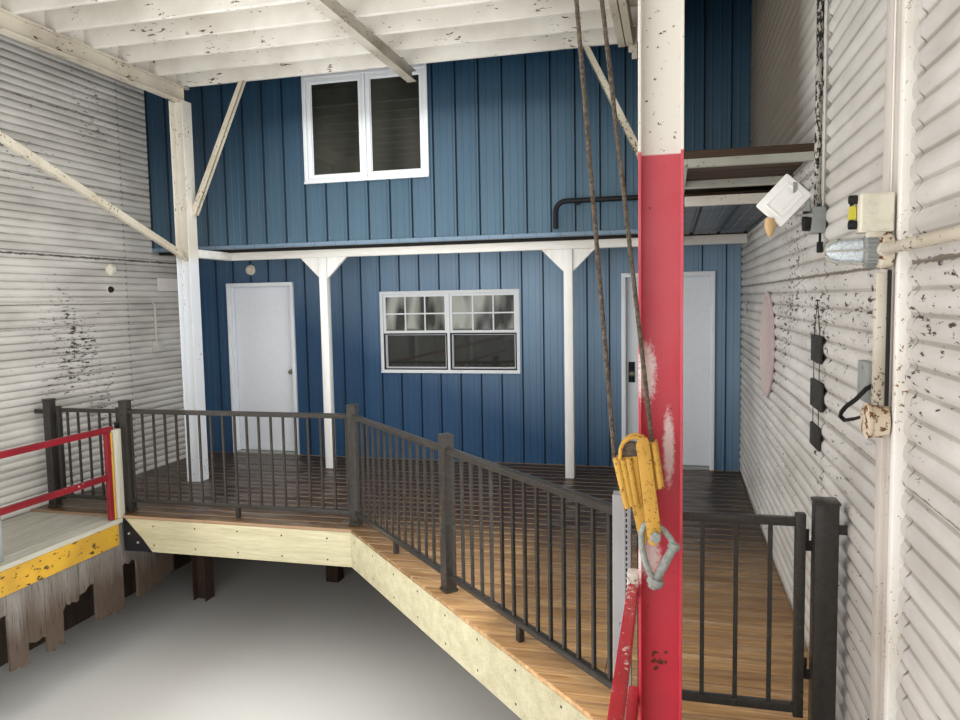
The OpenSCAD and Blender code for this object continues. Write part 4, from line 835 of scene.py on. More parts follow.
UPPER_HALF, LOWER_HALF = 0.685, 0.819
UPPER_X, LOWER_X = -0.575, 0.042
UPPER_HOLE = (UPPER_X - UPPER_HALF, UPPER_X + UPPER_HALF, HIGH_SILL, HIGH_HEAD)
LOWER_HOLE = (LOWER_X - LOWER_HALF, LOWER_X + LOWER_HALF, LOW_SILL, LOW_HEAD)
UPPER_LOW = low_of("upper_front_wall").z
skins = [roof_cut(cladding(CABIN, 1, a, b, z0, z1, UPPER_RIB))
         for a, b, z0, z1 in around(-INNER, INNER, UPPER_LOW + 0.040, RIDGE, UPPER_HOLE)]
piece("upper_front_cladding", skins, UPPER_BLUE, ["upper_front_wall"])
drip = solid([(-INNER, CABIN + 0.018, UPPER_LOW + 0.046), (-INNER, CABIN - 0.003, UPPER_LOW + 0.040),
              (-INNER, CABIN - 0.004, UPPER_LOW + 0.008), (-INNER, CABIN - 0.014, UPPER_LOW),
              (-INNER, CABIN - 0.011, UPPER_LOW - 0.002), (-INNER, CABIN + 0.018, UPPER_LOW)],
             (2 * INNER, 0, 0), 0.0008)
piece("upper_wall_drip_flashing", [drip], FLASHING)
# A black strip under the upper wall where there is only a shadowed gap: painted shadow
shadow_board = box((-INNER, CABIN + 0.112, UPPER_LOW - 0.030), (INNER, CABIN + 0.139, UPPER_LOW + 0.030),
                   0.002)
piece("painted_shadow_strip", [shadow_board], BLACK_RUBBER)
screws = []
for i in range(27):
    x = UPPER_RIB - 13 * RIB + i * RIB + 0.035
    if abs(x) < INNER - 0.03:
        screws.append(rod((x, CABIN + 0.019, UPPER_LOW + 0.075), (x, CABIN + 0.013, UPPER_LOW + 0.075),
                          0.006, 8))
piece("cladding_screws", screws, FLASHING)


def holed_core(y0, y1, z0, hole):
    core = roof_cut(solid([(-INNER, y0, z0), (INNER, y0, z0), (INNER, y0, RIDGE), (-INNER, y0, RIDGE)],
                          (0, y1 - y0, 0)))
    return open_up(core, (hole[0], y0 - 0.1, hole[2]), (hole[1], y1 + 0.1, hole[3]))


piece("upper_front_framing", holed_core(CABIN + 0.02, CABIN + 0.14, UPPER_LOW + 0.004, UPPER_HOLE), LINING)

DOOR_HEAD = high_of("front_wall_left").z
HEAD_TOP = high_of("front_wall_head").z
jamb_left, jamb_right = low_of("left_door_frame").x, high_of("right_door_frame").x
middle_low, middle_high = low_of("front_wall_middle").x, high_of("front_wall_middle").x
for part, spans in (("left", [(-INNER, jamb_left, DECK, DOOR_HEAD)]),
                    ("middle", around(middle_low, middle_high, DECK, DOOR_HEAD, LOWER_HOLE)),
                    ("right", [(jamb_right, INNER, DECK, DOOR_HEAD)]),
                    ("head", [(-INNER, INNER, DOOR_HEAD, HEAD_TOP)])):
    lower = [cladding(PORCH, 1, a, b, z0, z1, LOWER_RIB) for a, b, z0, z1 in spans]
    piece("front_" + part + "_cladding", lower, LOWER_BLUE, ["front_wall_" + part])
backing = [box((a, PORCH + 0.02, z0), (b, PORCH + 0.14, z1), 0.002)
           for a, b, z0,
           z1 in ((-INNER, jamb_left, DECK, DOOR_HEAD), (middle_low, middle_high, DECK, DOOR_HEAD),
                  (jamb_right, INNER, DECK, DOOR_HEAD), (-INNER, INNER, DOOR_HEAD, HEAD_TOP))]
open_up(backing[1], (LOWER_HOLE[0], PORCH - 0.1, LOWER_HOLE[2]), (LOWER_HOLE[1], PORCH + 0.3, LOWER_HOLE[3]))
piece("lower_front_framing", backing, LINING)

low_hole = (-LOWER_HALF, LOWER_HALF, LOW_SILL, LOW_HEAD)
high_hole = (-UPPER_HALF, UPPER_HALF, HIGH_SILL, HIGH_HEAD)
split = (LOW_HEAD + HIGH_SILL) / 2
rear = [cladding(BACK, -1, a, b, z0, z1) for a, b, z0, z1 in around(-INNER, INNER, WALL_LOW, split, low_hole)]
rear += [roof_cut(cladding(BACK, -1, a, b, z0, z1))
         for a, b, z0, z1 in around(-INNER, INNER, split, RIDGE, high_hole)]
piece("back_cladding", rear, LOWER_BLUE, ["back_wall"])
core = holed_core(BACK - 0.14, BACK - 0.02, WALL_LOW, low_hole)
open_up(core, (high_hole[0], BACK - 0.3, high_hole[2]), (high_hole[1], BACK + 0.1, high_hole[3]))
piece("back_framing", core, LINING)

EAVE = high_of("roof_right").x
ROOF_FRONT, ROOF_BACK = low_of("roof_right").y, high_of("roof_right").y
ROOF_T = 0.11
for side, name in ((-1, "left"), (1, "right")):
    def slope_point(x, up):
        return (side * x, ROOF_FRONT, RIDGE - SLOPE * x + up)
    deck_slab = solid([slope_point(0.0, 0.002), slope_point(EAVE - 0.02, 0.002),
                       slope_point(EAVE - 0.02, ROOF_T - 0.024), slope_point(0.0, ROOF_T - 0.024)],
                      (0, ROOF_BACK - ROOF_FRONT, 0))
    piece("roof_boards_" + name, deck_slab, BULK_WOOD)
    count = 24
    wide = (ROOF_BACK - ROOF_FRONT - 0.04) / count
    wave = wide / 10
    line = []
    for i in range(81):
        up = ROOF_T - 0.009 + 0.0085 * math.cos(2 * math.pi * i / 8)
        line.append((0.0, ROOF_FRONT + 0.02 + wave * i / 8, RIDGE + up))
    sheet = thicken(strip(line, (side * EAVE, 0, -SLOPE * EAVE)), 0.001)
    sheets = [moved(sheet, (0, i * wide, -0.0012 * (i % 2))) for i in range(count)]
    drop([sheet])
    for y in (ROOF_FRONT + 0.012, ROOF_BACK - 0.012):
        verge = solid([(0, y - 0.012, RIDGE + ROOF_T),
                       (side * EAVE, y - 0.012, RIDGE - SLOPE * EAVE + ROOF_T),
                       (side * EAVE, y - 0.012, RIDGE - SLOPE * EAVE + 0.004),
                       (0, y - 0.012, RIDGE + 0.004)], (0, 0.024, 0), 0.002)
        sheets.append(verge)
    piece("roof_sheets_" + name, sheets, ROOF_SHEET, ["roof_" + name])
finish_with(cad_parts["ridge_cap"], ROOF_SHEET)

plank = box((INNER, FRONT, 0.0), (WALL, FRONT + 0.196, WALL_LOW), 0.006)
count = 86
pitch = (BACK - FRONT) / count
planks = [moved(plank, (0, i * pitch, 0)) for i in range(count)]
planks += [flipped(p) for p in planks[:]]
end_plank = box((-INNER, BACK - 0.14, 0.0), (-INNER + 0.19, BACK, WALL_LOW), 0.006)
planks += [moved(end_plank, (i * 2 * INNER / 33, 0, 0)) for i in range(33)]
drop([plank, end_plank])
piece("bulkhead_planks", planks, BULK_WOOD, ["bulkhead"])


def column_part(y, a, b, out, back, top):
    """The same upright strip on both walls, from a to b beside the middle of a column"""
    parts = []
    for side in (-1, 1):
        parts.append(box((side * (INNER - out), y + a, WALKWAY), (side * (INNER - back), y + b, top), 0.003,
                         2))
    return parts


for y in (-0.690, -4.670, -8.520):
    top = LOFT if y < -8 else EAVES
    # The near flange takes the lighter copy of the column paint (painted light); the web and far flange take
    # the darker copy (painted shade)
    near = column_part(y, -0.100, -0.056, 0.024, -0.0135, top)
    shaded_parts = column_part(y, -0.058, 0.034, 0.013, 0.0, top) + column_part(y, 0.032, 0.105, 0.026, 0.0, top)
    piece("column_edges" + str(int(-y)), near, COLUMN_LIT)
    piece("wall_columns" + str(int(-y)), shaded_parts, COLUMN_SHADED,
          ["wall_columns"] if y > -1 else [])


# Steel frame and loft

def h_outline(x, y, z, depth, width, tf, tw, plane):
    """Corners of a rolled H or I section: depth runs along X for a post, along Z for a beam"""
    d, w, t = depth / 2, width / 2, tw / 2
    flat = [(-d, -w), (-d + tf, -w), (-d + tf, -t), (d - tf, -t), (d - tf, -w), (d, -w),
            (d, w), (d - tf, w), (d - tf, t), (-d + tf, t), (-d + tf, w), (-d, w)]
    if plane == "post":
        return [(x + a, y + b, z) for a, b in flat]
    return [(x + b, y, z + a) for a, b in flat]


posts = []
for x in (POST_LEFT, POST_RIGHT):
    for y in FRAMES:
        post = solid(h_outline(x, y, 0.0, POST, POST, 0.010, 0.008, "post"), (0, 0, BEAM_LOW), 0.0015)
        if x == POST_RIGHT and y == FRAMES[1]:
            piece("red_post_steel", post, RED_WHITE, ["red_post"])
        else:
            posts.append(post)
piece("white_posts_steel", posts, WHITE_STEEL, ["steel_posts"])

BEAM_Y0, BEAM_Y1 = low_of("side_beams").y, high_of("side_beams").y
beams = []
for x in (POST_LEFT, POST_RIGHT):
    for low, high in ((BEAM_LOW, BEAM_LOW + 0.010), (LOFT - 0.010, LOFT)):
        beams.append(box((x - 0.051, BEAM_Y0, low), (x + 0.051, BEAM_Y1, high), 0.0015))
    beams.append(box((x - 0.004, BEAM_Y0, BEAM_LOW + 0.009), (x + 0.004, BEAM_Y1 - 0.055, LOFT - 0.009),
                     0.001))
    for y in FRAMES[:3]:
        for s in (-1, 1):
            beams.append(box((x + s * 0.004, y - 0.004, BEAM_LOW + 0.010),
                             (x + s * 0.049, y + 0.004, LOFT - 0.010), 0.001))
piece("side_beams_steel", beams, GREY_STEEL, ["side_beams"])

MID_Y0, MID_Y1 = low_of("middle_beam").y, high_of("middle_beam").y
middle = solid(h_outline(0.070, MID_Y0, LOFT - 0.0525, 0.105, 0.090, 0.008, 0.006, "beam"),
               (0, MID_Y1 - MID_Y0, 0), 0.0015)
piece("middle_beam_steel", middle, MIDDLE_PAINT, ["middle_beam"])
lift_low, lift_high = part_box("lift_beam")
channel = []
LIFT_X = 2.110
for s in (-1, 1):
    section = ((0.004, 0.150), (0.060, 0.150), (0.060, 0.140), (0.012, 0.136), (0.012, 0.014), (0.060, 0.010),
               (0.060, 0.0), (0.004, 0.0))
    channel.append(solid([(LIFT_X + s * out, lift_low.y, LOFT - down) for out, down in section],
                         (0, lift_high.y - lift_low.y, 0), 0.0015))
steps = ((2.048, 0.002), (2.048, 0.125), (2.132, 0.125), (2.132, 0.200), (2.159, 0.200), (2.159, 0.255),
         (2.200, 0.255), (2.200, 0.002))
end_plate = solid([(x, lift_high.y - 0.012, LOFT - down) for x, down in steps], (0, 0.010, 0), 0.001)
piece("lift_beam_end_plate", end_plate, BEIGE_PAINT)
piece("lift_beam_channels", channel, CREAM_STEEL, ["lift_beam"])

joist_low, joist_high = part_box("loft_joists")
JOIST_STEP = 0.406
joist = box((joist_low.x, joist_high.y - 0.038, LOFT), (joist_high.x, joist_high.y, LOFT + 0.184), 0.003)
joists = []
for i in range(30):
    joists.append(moved(joist, (chance.uniform(-0.004, 0.0), -i * JOIST_STEP, 0),
                        chance.uniform(-0.0006, 0.0006), (0, joist_high.y, LOFT)))
block = box((joist_low.x - 0.004, joist_high.y - JOIST_STEP + 0.001, LOFT + 0.012),
            (joist_low.x + 0.034, joist_high.y - 0.039, LOFT + 0.182), 0.003)
cleat = box((joist_low.x - 0.052, joist_high.y - 0.036, LOFT + 0.004),
            (joist_low.x - 0.001, joist_high.y - 0.003, LOFT + 0.15), 0.004)
joists += [moved(block, (0, -i * JOIST_STEP, 0)) for i in range(29)]
joists += [moved(cleat, (0, -i * JOIST_STEP, chance.uniform(-0.003, 0.003))) for i in range(30)]
drop([joist, block, cleat])
piece("loft_joists_timber", joists, WHITE_JOIST, ["loft_joists"])
board_low, board_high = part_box("loft_boards")
wide = (board_high.x - board_low.x) / 34
board = box((board_low.x + 0.002, board_low.y, board_low.z),
            (board_low.x + wide - 0.003, board_high.y, board_high.z), 0.002)
boards = [moved(board, (i * wide, 0, chance.uniform(-0.001, 0.0))) for i in range(34)]
drop([board])
piece("loft_boards_timber", boards, LOFT_PAINT_SHADED, ["loft_boards"])


def knee_brace(x, side):
    """Angle iron from a post's inner flange up to the rear joist"""
    y0, y1 = low_of("braces").y, 3.461
    flat = solid([(x, y1, 4.010), (x, y1, 4.086), (x + side * 0.590, y1, LOFT), (x + side * 0.650, y1, LOFT),
                  (x + side * 0.044, y1, 4.010)], (0, 0.008, 0), 0.001)
    along = Vector((side * 0.606, 0, LOFT - 4.010)).normalized()
    lip = Vector((along.z, 0, -along.x)) * 0.008 * side
    a, b = Vector((x + side * 0.044, y1, 4.010)), Vector((x + side * 0.650, y1, LOFT))
    leg = solid([a, b, b - lip, a - lip], (0, 0.045, 0), 0.001)
    return [flat, leg]


braces = knee_brace(POST_LEFT + POST / 2, 1) + knee_brace(POST_RIGHT - POST / 2, -1)
rise = Vector((0, -3.972, 1.456)).normalized()
across = Vector((0, rise.z, -rise.y)) * 0.008
for x, s in ((POST_LEFT, 1), (POST_RIGHT, -1)):
    foot, head = Vector((x - s * 0.0225, 3.451, 3.546)), Vector((x - s * 0.0225, -0.521, 5.002))
    braces.append(solid([foot, foot + Z * 0.088, head + Z * 0.088, head], (s * 0.008, 0, 0), 0.001))
    braces.append(solid([foot, head, head + across, foot + across], (s * 0.045, 0, 0), 0.001))
piece("frame_braces", braces, CREAM_STEEL, ["braces"])


# Walkways, edge beams and old planks

boards = []
for x0, x1, y1, count in ((-INNER, EDGE_LEFT, DECK_FRONT, 7), (EDGE_RIGHT, INNER, DECK_GATE, 6)):
    wide = (x1 - x0) / count
    for i in range(count):
        cuts = [FRONT] + sorted(FRONT + 0.6 + (j + (i % 2) * 0.5) * 2.4 for j in range(4)) + [y1]
        for a, b in zip(cuts, cuts[1:]):
            if b - a > 0.1 and b <= y1:
                boards.append(box((x0 + i * wide + 0.001, a + 0.001, WALKWAY - 0.04),
                                  (x0 + (i + 1) * wide - 0.002, b - 0.001,
                                   WALKWAY - chance.uniform(0, 0.001)), 0.003))
walkway = piece("walkway_boards", boards, GREY_BOARDS, ["walkways"])
for x in (POST_LEFT, POST_RIGHT):
    for y in FRAMES[1:]:
        open_up(walkway, (x - 0.082, y - 0.082, 1.1), (x + 0.082, y + 0.082, 1.4))

beams = []
for x0, y1 in ((EDGE_LEFT - 0.038, DECK_FRONT - 0.06), (EDGE_RIGHT, DECK_GATE - 0.06)):
    y = y1
    while y > FRONT + 0.05:
        a = max(FRONT, y - 2.42)
        beams.append(box((x0, a + 0.002, 1.035), (x0 + 0.038, y - 0.002, 1.22), 0.004, 2))
        y = a
piece("edge_beams_timber", beams, YELLOW_PAINT, ["edge_beams"])

SEEN_ENDS = {1.0: 0.40, 1.3: 0.55, 1.35: 0.41, 1.62: 0.69, 1.88: 0.45, 2.14: 0.41, 2.37: 0.43, 2.65: 0.46,
             2.76: 0.49}
planks = []
for x0, start, count in ((EDGE_LEFT - 0.063, 3.025, 68), (EDGE_RIGHT + 0.038, 0.735, 55)):
    for i in range(count):
        y = start - i * 0.17
        near = [z for place, z in SEEN_ENDS.items() if abs(place - (y - 0.085)) < 0.09]
        low = near[0] if near and x0 < 0 else chance.uniform(0.62, 0.84)
        ends = [(y - 0.168 + t * 0.166, low + chance.uniform(0.0, 0.05))
                for t in (0.0, 0.2, 0.38, 0.55, 0.8, 1.0)]
        shape = [(x0, y - 0.001, 1.22), (x0, y - 0.168, 1.22)] + [(x0, a, b) for a, b in ends]
        planks.append(solid(shape, (0.025 - chance.uniform(0.0, 0.004), 0, 0), 0.002))
piece("edge_planks_old", planks, OLD_PLANKS, ["edge_planks"])


# Deck: boards laid along X, the front edge running off on a diagonal

def front_x(y):
    """The deck edge's x at y, on the diagonal"""
    return KNEE + (DECK_FRONT - y) * (CORNER - KNEE) / (DECK_FRONT - DECK_GATE)


boards = []
rows = []
k = 0
while DECK_FRONT + k * BOARD_STEP < PORCH:
    rows.append((DECK_FRONT + k * BOARD_STEP, min(DECK_FRONT + k * BOARD_STEP + 0.140, PORCH)))
    k += 1
k = 1
while DECK_FRONT - k * BOARD_STEP + 0.140 > DECK_GATE + 0.005:
    rows.append((max(DECK_FRONT - k * BOARD_STEP, DECK_GATE), DECK_FRONT - k * BOARD_STEP + 0.140))
    k += 1
for row, (a, b) in enumerate(rows):
    joint = -INNER + 0.59 * (3 + 2 * (row % 4)) + 0.019
    left = (lambda v: -INNER) if a >= DECK_FRONT - 0.001 else front_x
    if left(a) < joint - 0.4:
        spans = [(left, joint - 0.001), (lambda v: joint + 0.001, INNER)]
    else:
        spans = [(left, INNER)]
    for begin_x, end_x in spans:
        top = DECK - chance.uniform(0.0, 0.0012)
        shape = [(x, y, DECK - DECK_T) for x, y in ((begin_x(a), a), (end_x, a), (end_x, b), (begin_x(b), b))]
        board = solid(shape, (0, 0, top - DECK + DECK_T), 0.004, 2)
        for x in (POST_LEFT, POST_RIGHT):
            if a < FRAMES[0] + 0.082 and b > FRAMES[0] - 0.082 and begin_x(a) < x < end_x:
                open_up(board, (x - 0.082, FRAMES[0] - 0.082, 1.1), (x + 0.082, FRAMES[0] + 0.082, 1.4))
        boards.append(board)
piece("deck_boards", boards, DECKING, ["deck"])

FASCIA_LOW, FASCIA_HIGH = low_of("deck_frame").z, high_of("deck_frame").z
turn = math.atan2(DECK_FRONT - DECK_GATE, CORNER - KNEE)
mitre = 0.038 * math.tan(turn / 2)
fascia = []
for a, b, shift_a, shift_b in (((EDGE_LEFT, DECK_FRONT), (KNEE, DECK_FRONT), 0, mitre),
                               ((KNEE + 0.001, DECK_FRONT - 0.001), (CORNER, DECK_GATE), mitre, mitre),
                               ((CORNER + 0.001, DECK_GATE), (EDGE_RIGHT, DECK_GATE), mitre, 0)):
    shape = [(a[0], a[1], FASCIA_LOW), (b[0], b[1], FASCIA_LOW), (b[0] + shift_b, b[1] + 0.038, FASCIA_LOW),
             (a[0] + shift_a, a[1] + 0.038, FASCIA_LOW)]
    fascia.append(solid(shape, (0, 0, FASCIA_HIGH - FASCIA_LOW), 0.004, 2))
for i in range(11):
    x = -INNER + i * 0.59
    y0 = DECK_FRONT + 0.039 if x < KNEE else max(DECK_GATE + 0.039, DECK_FRONT + 0.052 - (x - KNEE) * 1.0553)
    fascia.append(box((x, y0, 1.017), (x + 0.038, PORCH, FASCIA_HIGH), 0.003))
piece("deck_fascia_and_joists", fascia, PINE, ["deck_frame"])
screws = []
down = Vector((CORNER - KNEE, DECK_GATE - DECK_FRONT, 0)).normalized()
face_out = Vector((down.y, -down.x, 0))
spots = [(Vector((EDGE_LEFT + 0.30 + i * 0.41, DECK_FRONT, 0)), Vector((0, -1, 0))) for i in range(5)]
spots += [(Vector((KNEE, DECK_FRONT, 0)) + down * (0.08 + i * 0.405), face_out) for i in range(8)]
for place, out in spots:
    for z in (FASCIA_LOW + 0.06 + chance.uniform(-0.01, 0.01),
              FASCIA_HIGH - 0.05 + chance.uniform(-0.01, 0.01)):
        at = place + Z * z
        screws.append(rod(at - out * 0.002, at + out * 0.0012, 0.0075, 8))
piece("fascia_screws", screws, BLACK_STEEL)
corners = ((0.0, FASCIA_LOW), (0.28, FASCIA_LOW), (0.20, FASCIA_LOW + 0.10), (0.02, FASCIA_HIGH),
           (0.0, FASCIA_HIGH))
corner = solid([(EDGE_LEFT + x, DECK_FRONT, z) for x, z in corners], (0, -0.008, 0), 0.0015)
bolts = [rod((x, DECK_FRONT - 0.018, z), (x, DECK_FRONT - 0.006, z), 0.011, 6)
         for x, z in ((-2.11, 1.124), (-2.023, 1.049))]
piece("corner_plate_steel", corner, BLACK_STEEL, ["corner_plate"])
piece("corner_plate_bolts", bolts, GALVANISED)


# Porch: header, ties and posts

HEADER_LOW, HEADER_HIGH = low_of("porch_header").z, high_of("porch_header").z
HEADER_Y = 4.180
porch = [box((POST_LEFT - 0.0445, HEADER_Y, HEADER_LOW), (INNER, HEADER_Y + 0.089, HEADER_HIGH), 0.005, 2)]
for x in (POST_LEFT, POST_RIGHT):
    porch.append(box((x - 0.0445, FRAMES[0] + 0.076, HEADER_LOW), (x + 0.0445, HEADER_Y, HEADER_HIGH),
                     0.005, 2))
piece("porch_header_timber", porch, WHITE_ACROSS, ["porch_header"])
porch = []
piles = []
for x in (-1.175, 1.480):
    porch.append(box((x - 0.0445, HEADER_Y, DECK), (x + 0.0445, HEADER_Y + 0.089, HEADER_LOW), 0.005, 2))
    for s in (-1, 1):
        a = x + s * 0.0445
        y0 = HEADER_Y + 0.0245
        porch.append(solid([(a, y0, HEADER_LOW), (a + s * 0.225, y0, HEADER_LOW),
                             (a, y0, HEADER_LOW - 0.225)], (0, 0.04, 0), 0.003))
    piles.append(box((x - 0.075, HEADER_Y - 0.030, 0.0), (x + 0.075, HEADER_Y + 0.120, DECK - DECK_T), 0.008,
                     2))
piece("porch_posts_timber", porch, WHITE_UPRIGHT, ["porch_posts"])
piece("porch_piles_timber", piles, WET_PILE)
for name in ("lower_floor", "upper_floor"):
    finish_with(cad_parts[name], FLOOR_BOARDS)


# Windows: vinyl frames drawn as seen from outside, then turned to their walls

def ring(x0, x1, z0, z1, y0, y1, width, bevel=0.002):
    """A rectangular frame with mitre-welded corners"""
    outline([(x0, y0, z0), (x1, y0, z0), (x1, y0, z1), (x0, y0, z1)])
    bpy.ops.mesh.edge_face_add()
    bpy.ops.mesh.inset(thickness=width)
    bpy.ops.mesh.delete(type="FACE")
    bpy.ops.mesh.select_all(action="SELECT")
    pull((0, y1 - y0, 0))
    normals_out()
    ease(bevel)
    return done()


def window(width, height, units, hung):
    """Parts of a window centred on X with its foot at z 0 and its face at y 0"""
    rim, post, sash = (0.036, 0.030, 0.030) if hung else (0.040, 0.030, 0.046)
    vinyl, dark, panes = [ring(-width / 2, width / 2, 0, height, 0.0, 0.090, rim, 0.003)], [], []
    vinyl.append(box((-width / 2, -0.012, 0.0), (width / 2, 0.0, 0.022), 0.003, 2))
    each = (width - 2 * rim - (units - 1) * post) / units
    for i in range(units):
        x0 = -width / 2 + rim + i * (each + post)
        x1 = x0 + each
        if i:
            vinyl.append(box((x0 - post, 0.004, rim), (x0, 0.086, height - rim), 0.003))
        if not hung:
            vinyl.append(ring(x0, x1, rim, height - rim, 0.022, 0.062, sash))
            vinyl.append(ring(x0 + sash - 0.002, x1 - sash + 0.002, rim + sash - 0.002,
                              height - rim - sash + 0.002, 0.036, 0.052, 0.011, 0.002))
            panes.append(((x0 + 0.044, 0.044, 0.084), (x1 - 0.044, 0.048, height - 0.084)))
            continue
        middle = 0.5 * height + 0.005
        vinyl.append(ring(x0, x1, middle - 0.018, height - 0.036, 0.016, 0.046, 0.030))
        vinyl.append(ring(x0, x1, 0.036, middle + 0.014, 0.048, 0.078, 0.030))
        panes.append(((x0 + 0.028, 0.029, middle + 0.010), (x1 - 0.028, 0.033, height - 0.064)))
        panes.append(((x0 + 0.028, 0.061, 0.064), (x1 - 0.028, 0.065, middle - 0.014)))
        a, b, low, high = x0 + 0.030, x1 - 0.030, middle + 0.012, height - 0.066
        for j in (1, 2):
            x = a + (b - a) * j / 3
            vinyl.append(box((x - 0.008, 0.022, low), (x + 0.008, 0.040, high), 0.002))
        z = (low + high) / 2
        vinyl.append(box((a, 0.023, z - 0.008), (b, 0.039, z + 0.008), 0.002))
        dark.append(ring(x0 + 0.004, x1 - 0.004, 0.038, middle - 0.02, 0.008, 0.020, 0.012, 0.001))
        vinyl.append(ring(x0 + 0.022, x1 - 0.022, 0.058, middle - 0.034, 0.024, 0.034, 0.006, 0.001))
    glass = [box(low, high, 0.0008) for low, high in panes]
    return vinyl, dark, glass


def place_window(parts, turn, to):
    for o in parts:
        only(o)
        o.matrix_world = Matrix.Translation(Vector(to)) @ Matrix.Rotation(turn, 4, "Z")
        bpy.ops.object.transform_apply()
    return parts


for level, sill, height, wide, front_at, hung in (
        ("lower", LOW_SILL, LOW_HEAD - LOW_SILL, 2 * LOWER_HALF, (LOWER_X, PORCH), True),
        ("upper", HIGH_SILL, HIGH_HEAD - HIGH_SILL, 2 * UPPER_HALF, (UPPER_X, CABIN), False)):
    frames_made, screens, panes = [], [], []
    for width, units, turn, to in ((wide, 2, 0, (front_at[0], front_at[1], sill)),
                                   (wide, 2, math.pi, (0, BACK, sill)),
                                   (0.9, 1, math.pi / 2, (WALL, SIDE_MIDDLE, sill)),
                                   (0.9, 1, -math.pi / 2, (-WALL, SIDE_MIDDLE, sill))):
        vinyl, dark, glass = window(width, height, units, hung)
        frames_made += place_window(vinyl, turn, to)
        screens += place_window(dark, turn, to)
        panes += place_window(glass, turn, to)
    piece(level + "_window_frames", frames_made, VINYL, [level + "_windows"])
    if screens:
        piece(level + "_window_screens", screens, BLACK_RUBBER)
    piece(level + "_window_panes", panes, PANE if hung else DARK_PANE, [level + "_glass"])


# Doors: flat steel slabs in frames, hinged at the room side

LEAF_LOW, LEAF_HIGH = 1.305, 3.318


def hinge_barrels(x, y, reach, levels, up=0.0):
    """Half of each hinge, a barrel and its leaf; the swung half stands above the fixed one"""
    parts = []
    for z in levels:
        parts.append(rod((x, y, z + up), (x, y, z + up + 0.045), 0.007, 16, 0.001))
        parts.append(box((x, y - 0.008, z + up), (x + reach, y - 0.005, z + up + 0.045), 0.001))
    return parts


def door(name, x, width, side, hinge_x, dark_lock):
    """A door in its frame; side is 1 with its hinges at the left"""
    y0, y1 = PORCH, PORCH + 0.14
    half, inner = width / 2, width / 2 - 0.032
    set_in = [box((x - half, y0, DECK), (x - inner, y1, DOOR_HEAD), 0.003),
              box((x + inner, y0, DECK), (x + half, y1, DOOR_HEAD), 0.003),
              box((x - inner, y0, DOOR_HEAD - 0.032), (x + inner, y1, DOOR_HEAD), 0.003)]
    stop_y = y1 - 0.049
    for a, b in ((x - inner, x - inner + 0.012), (x + inner - 0.012, x + inner)):
        set_in.append(box((a, stop_y - 0.03, DECK + 0.02), (b, stop_y, DOOR_HEAD - 0.032), 0.002))
    set_in.append(box((x - inner, stop_y - 0.03, DOOR_HEAD - 0.044), (x + inner, stop_y, DOOR_HEAD - 0.032),
                      0.002))
    for a, b in ((x - half, x - half + 0.045), (x + half - 0.045, x + half)):
        set_in.append(box((a, y0 - 0.012, DECK), (b, y0 + 0.006, DOOR_HEAD), 0.004, 2))
    set_in.append(box((x - half, y0 - 0.013, DOOR_HEAD - 0.045), (x + half, y0 + 0.006, DOOR_HEAD), 0.004, 2))
    levels = (LEAF_LOW + 0.15, LEAF_HIGH - 0.15 - 0.014)
    axis_y = PORCH + 0.148
    fixed = hinge_barrels(hinge_x, axis_y, -side * 0.035, levels)
    swung = hinge_barrels(hinge_x, axis_y, side * 0.040, levels, 0.0455)
    piece(name + "_frame_jambs", set_in, DOOR_PAINT, [name + "_frame"])
    section = ((y0, 0.0), (y0, 0.008), (y0 + 0.03, 0.019), (y1 - 0.02, 0.019), (y1, 0.0))
    sill = solid([(x - inner, y, DECK + up) for y, up in section], (2 * inner, 0, 0), 0.001)
    piece(name + "_sill_and_hinges", [sill] + fixed, GALVANISED)
    leaf_half = inner - 0.005
    slab = box((x - leaf_half, y1 - 0.044, LEAF_LOW), (x + leaf_half, y1, LEAF_HIGH), 0.002, 2)
    piece(name + "_slab", [slab], DOOR_PAINT, [name], name + "_leaf")
    kx, kz, ky = x + side * (leaf_half - 0.065), 2.28, y1 - 0.044
    knob = [turned((kx, ky, kz), Y, X, [(0, 0), (0, 0.032), (-0.004, 0.032), (-0.010, 0.026), (-0.012, 0.012),
                                        (-0.034, 0.011), (-0.040, 0.020), (-0.050, 0.027), (-0.062, 0.024),
                                        (-0.068, 0.012), (-0.069, 0)], 20),
            turned((kx, y1, kz), Y, X, [(0, 0), (0, 0.030), (0.008, 0.028), (0.012, 0.012), (0.03, 0.011),
                                        (0.040, 0.026), (0.050, 0.024), (0.052, 0)], 20)]
    piece(name + "_hinge_leaves", swung, GALVANISED, [], name + "_leaf")
    piece(name + "_knobs", knob, NICKEL, [], name + "_leaf")
    if dark_lock:
        plate = [box((kx - 0.034, ky - 0.006, kz - 0.09), (kx + 0.034, ky, kz + 0.13), 0.003, 2),
                 turned((kx, ky, kz + 0.08), Y, X,
                        [(-0.004, 0), (-0.004, 0.022), (-0.014, 0.022), (-0.020, 0.014), (-0.021, 0)], 16)]
        piece(name + "_lock_plate", plate, BLACK_STEEL, [], name + "_leaf")


door("left_door", -2.310, 0.889, 1, -2.720, False)
door("right_door", 2.435, 0.950, -1, 2.8755, True)


# Railings: bronze aluminium posts, panels and gates

P1, P2, P3 = (-3.010, 2.295), (-2.200, 2.295), (-0.030, 2.295)
P5, P6 = (2.275, -0.075), (3.080, -0.075)
P4 = ((P3[0] + P5[0]) / 2, (P3[1] + P5[1]) / 2)
POST_TOP = DECK + 0.985
BAR_STEP = 0.114
RAIL_TURN = math.atan2(P5[1] - P3[1], P5[0] - P3[0])


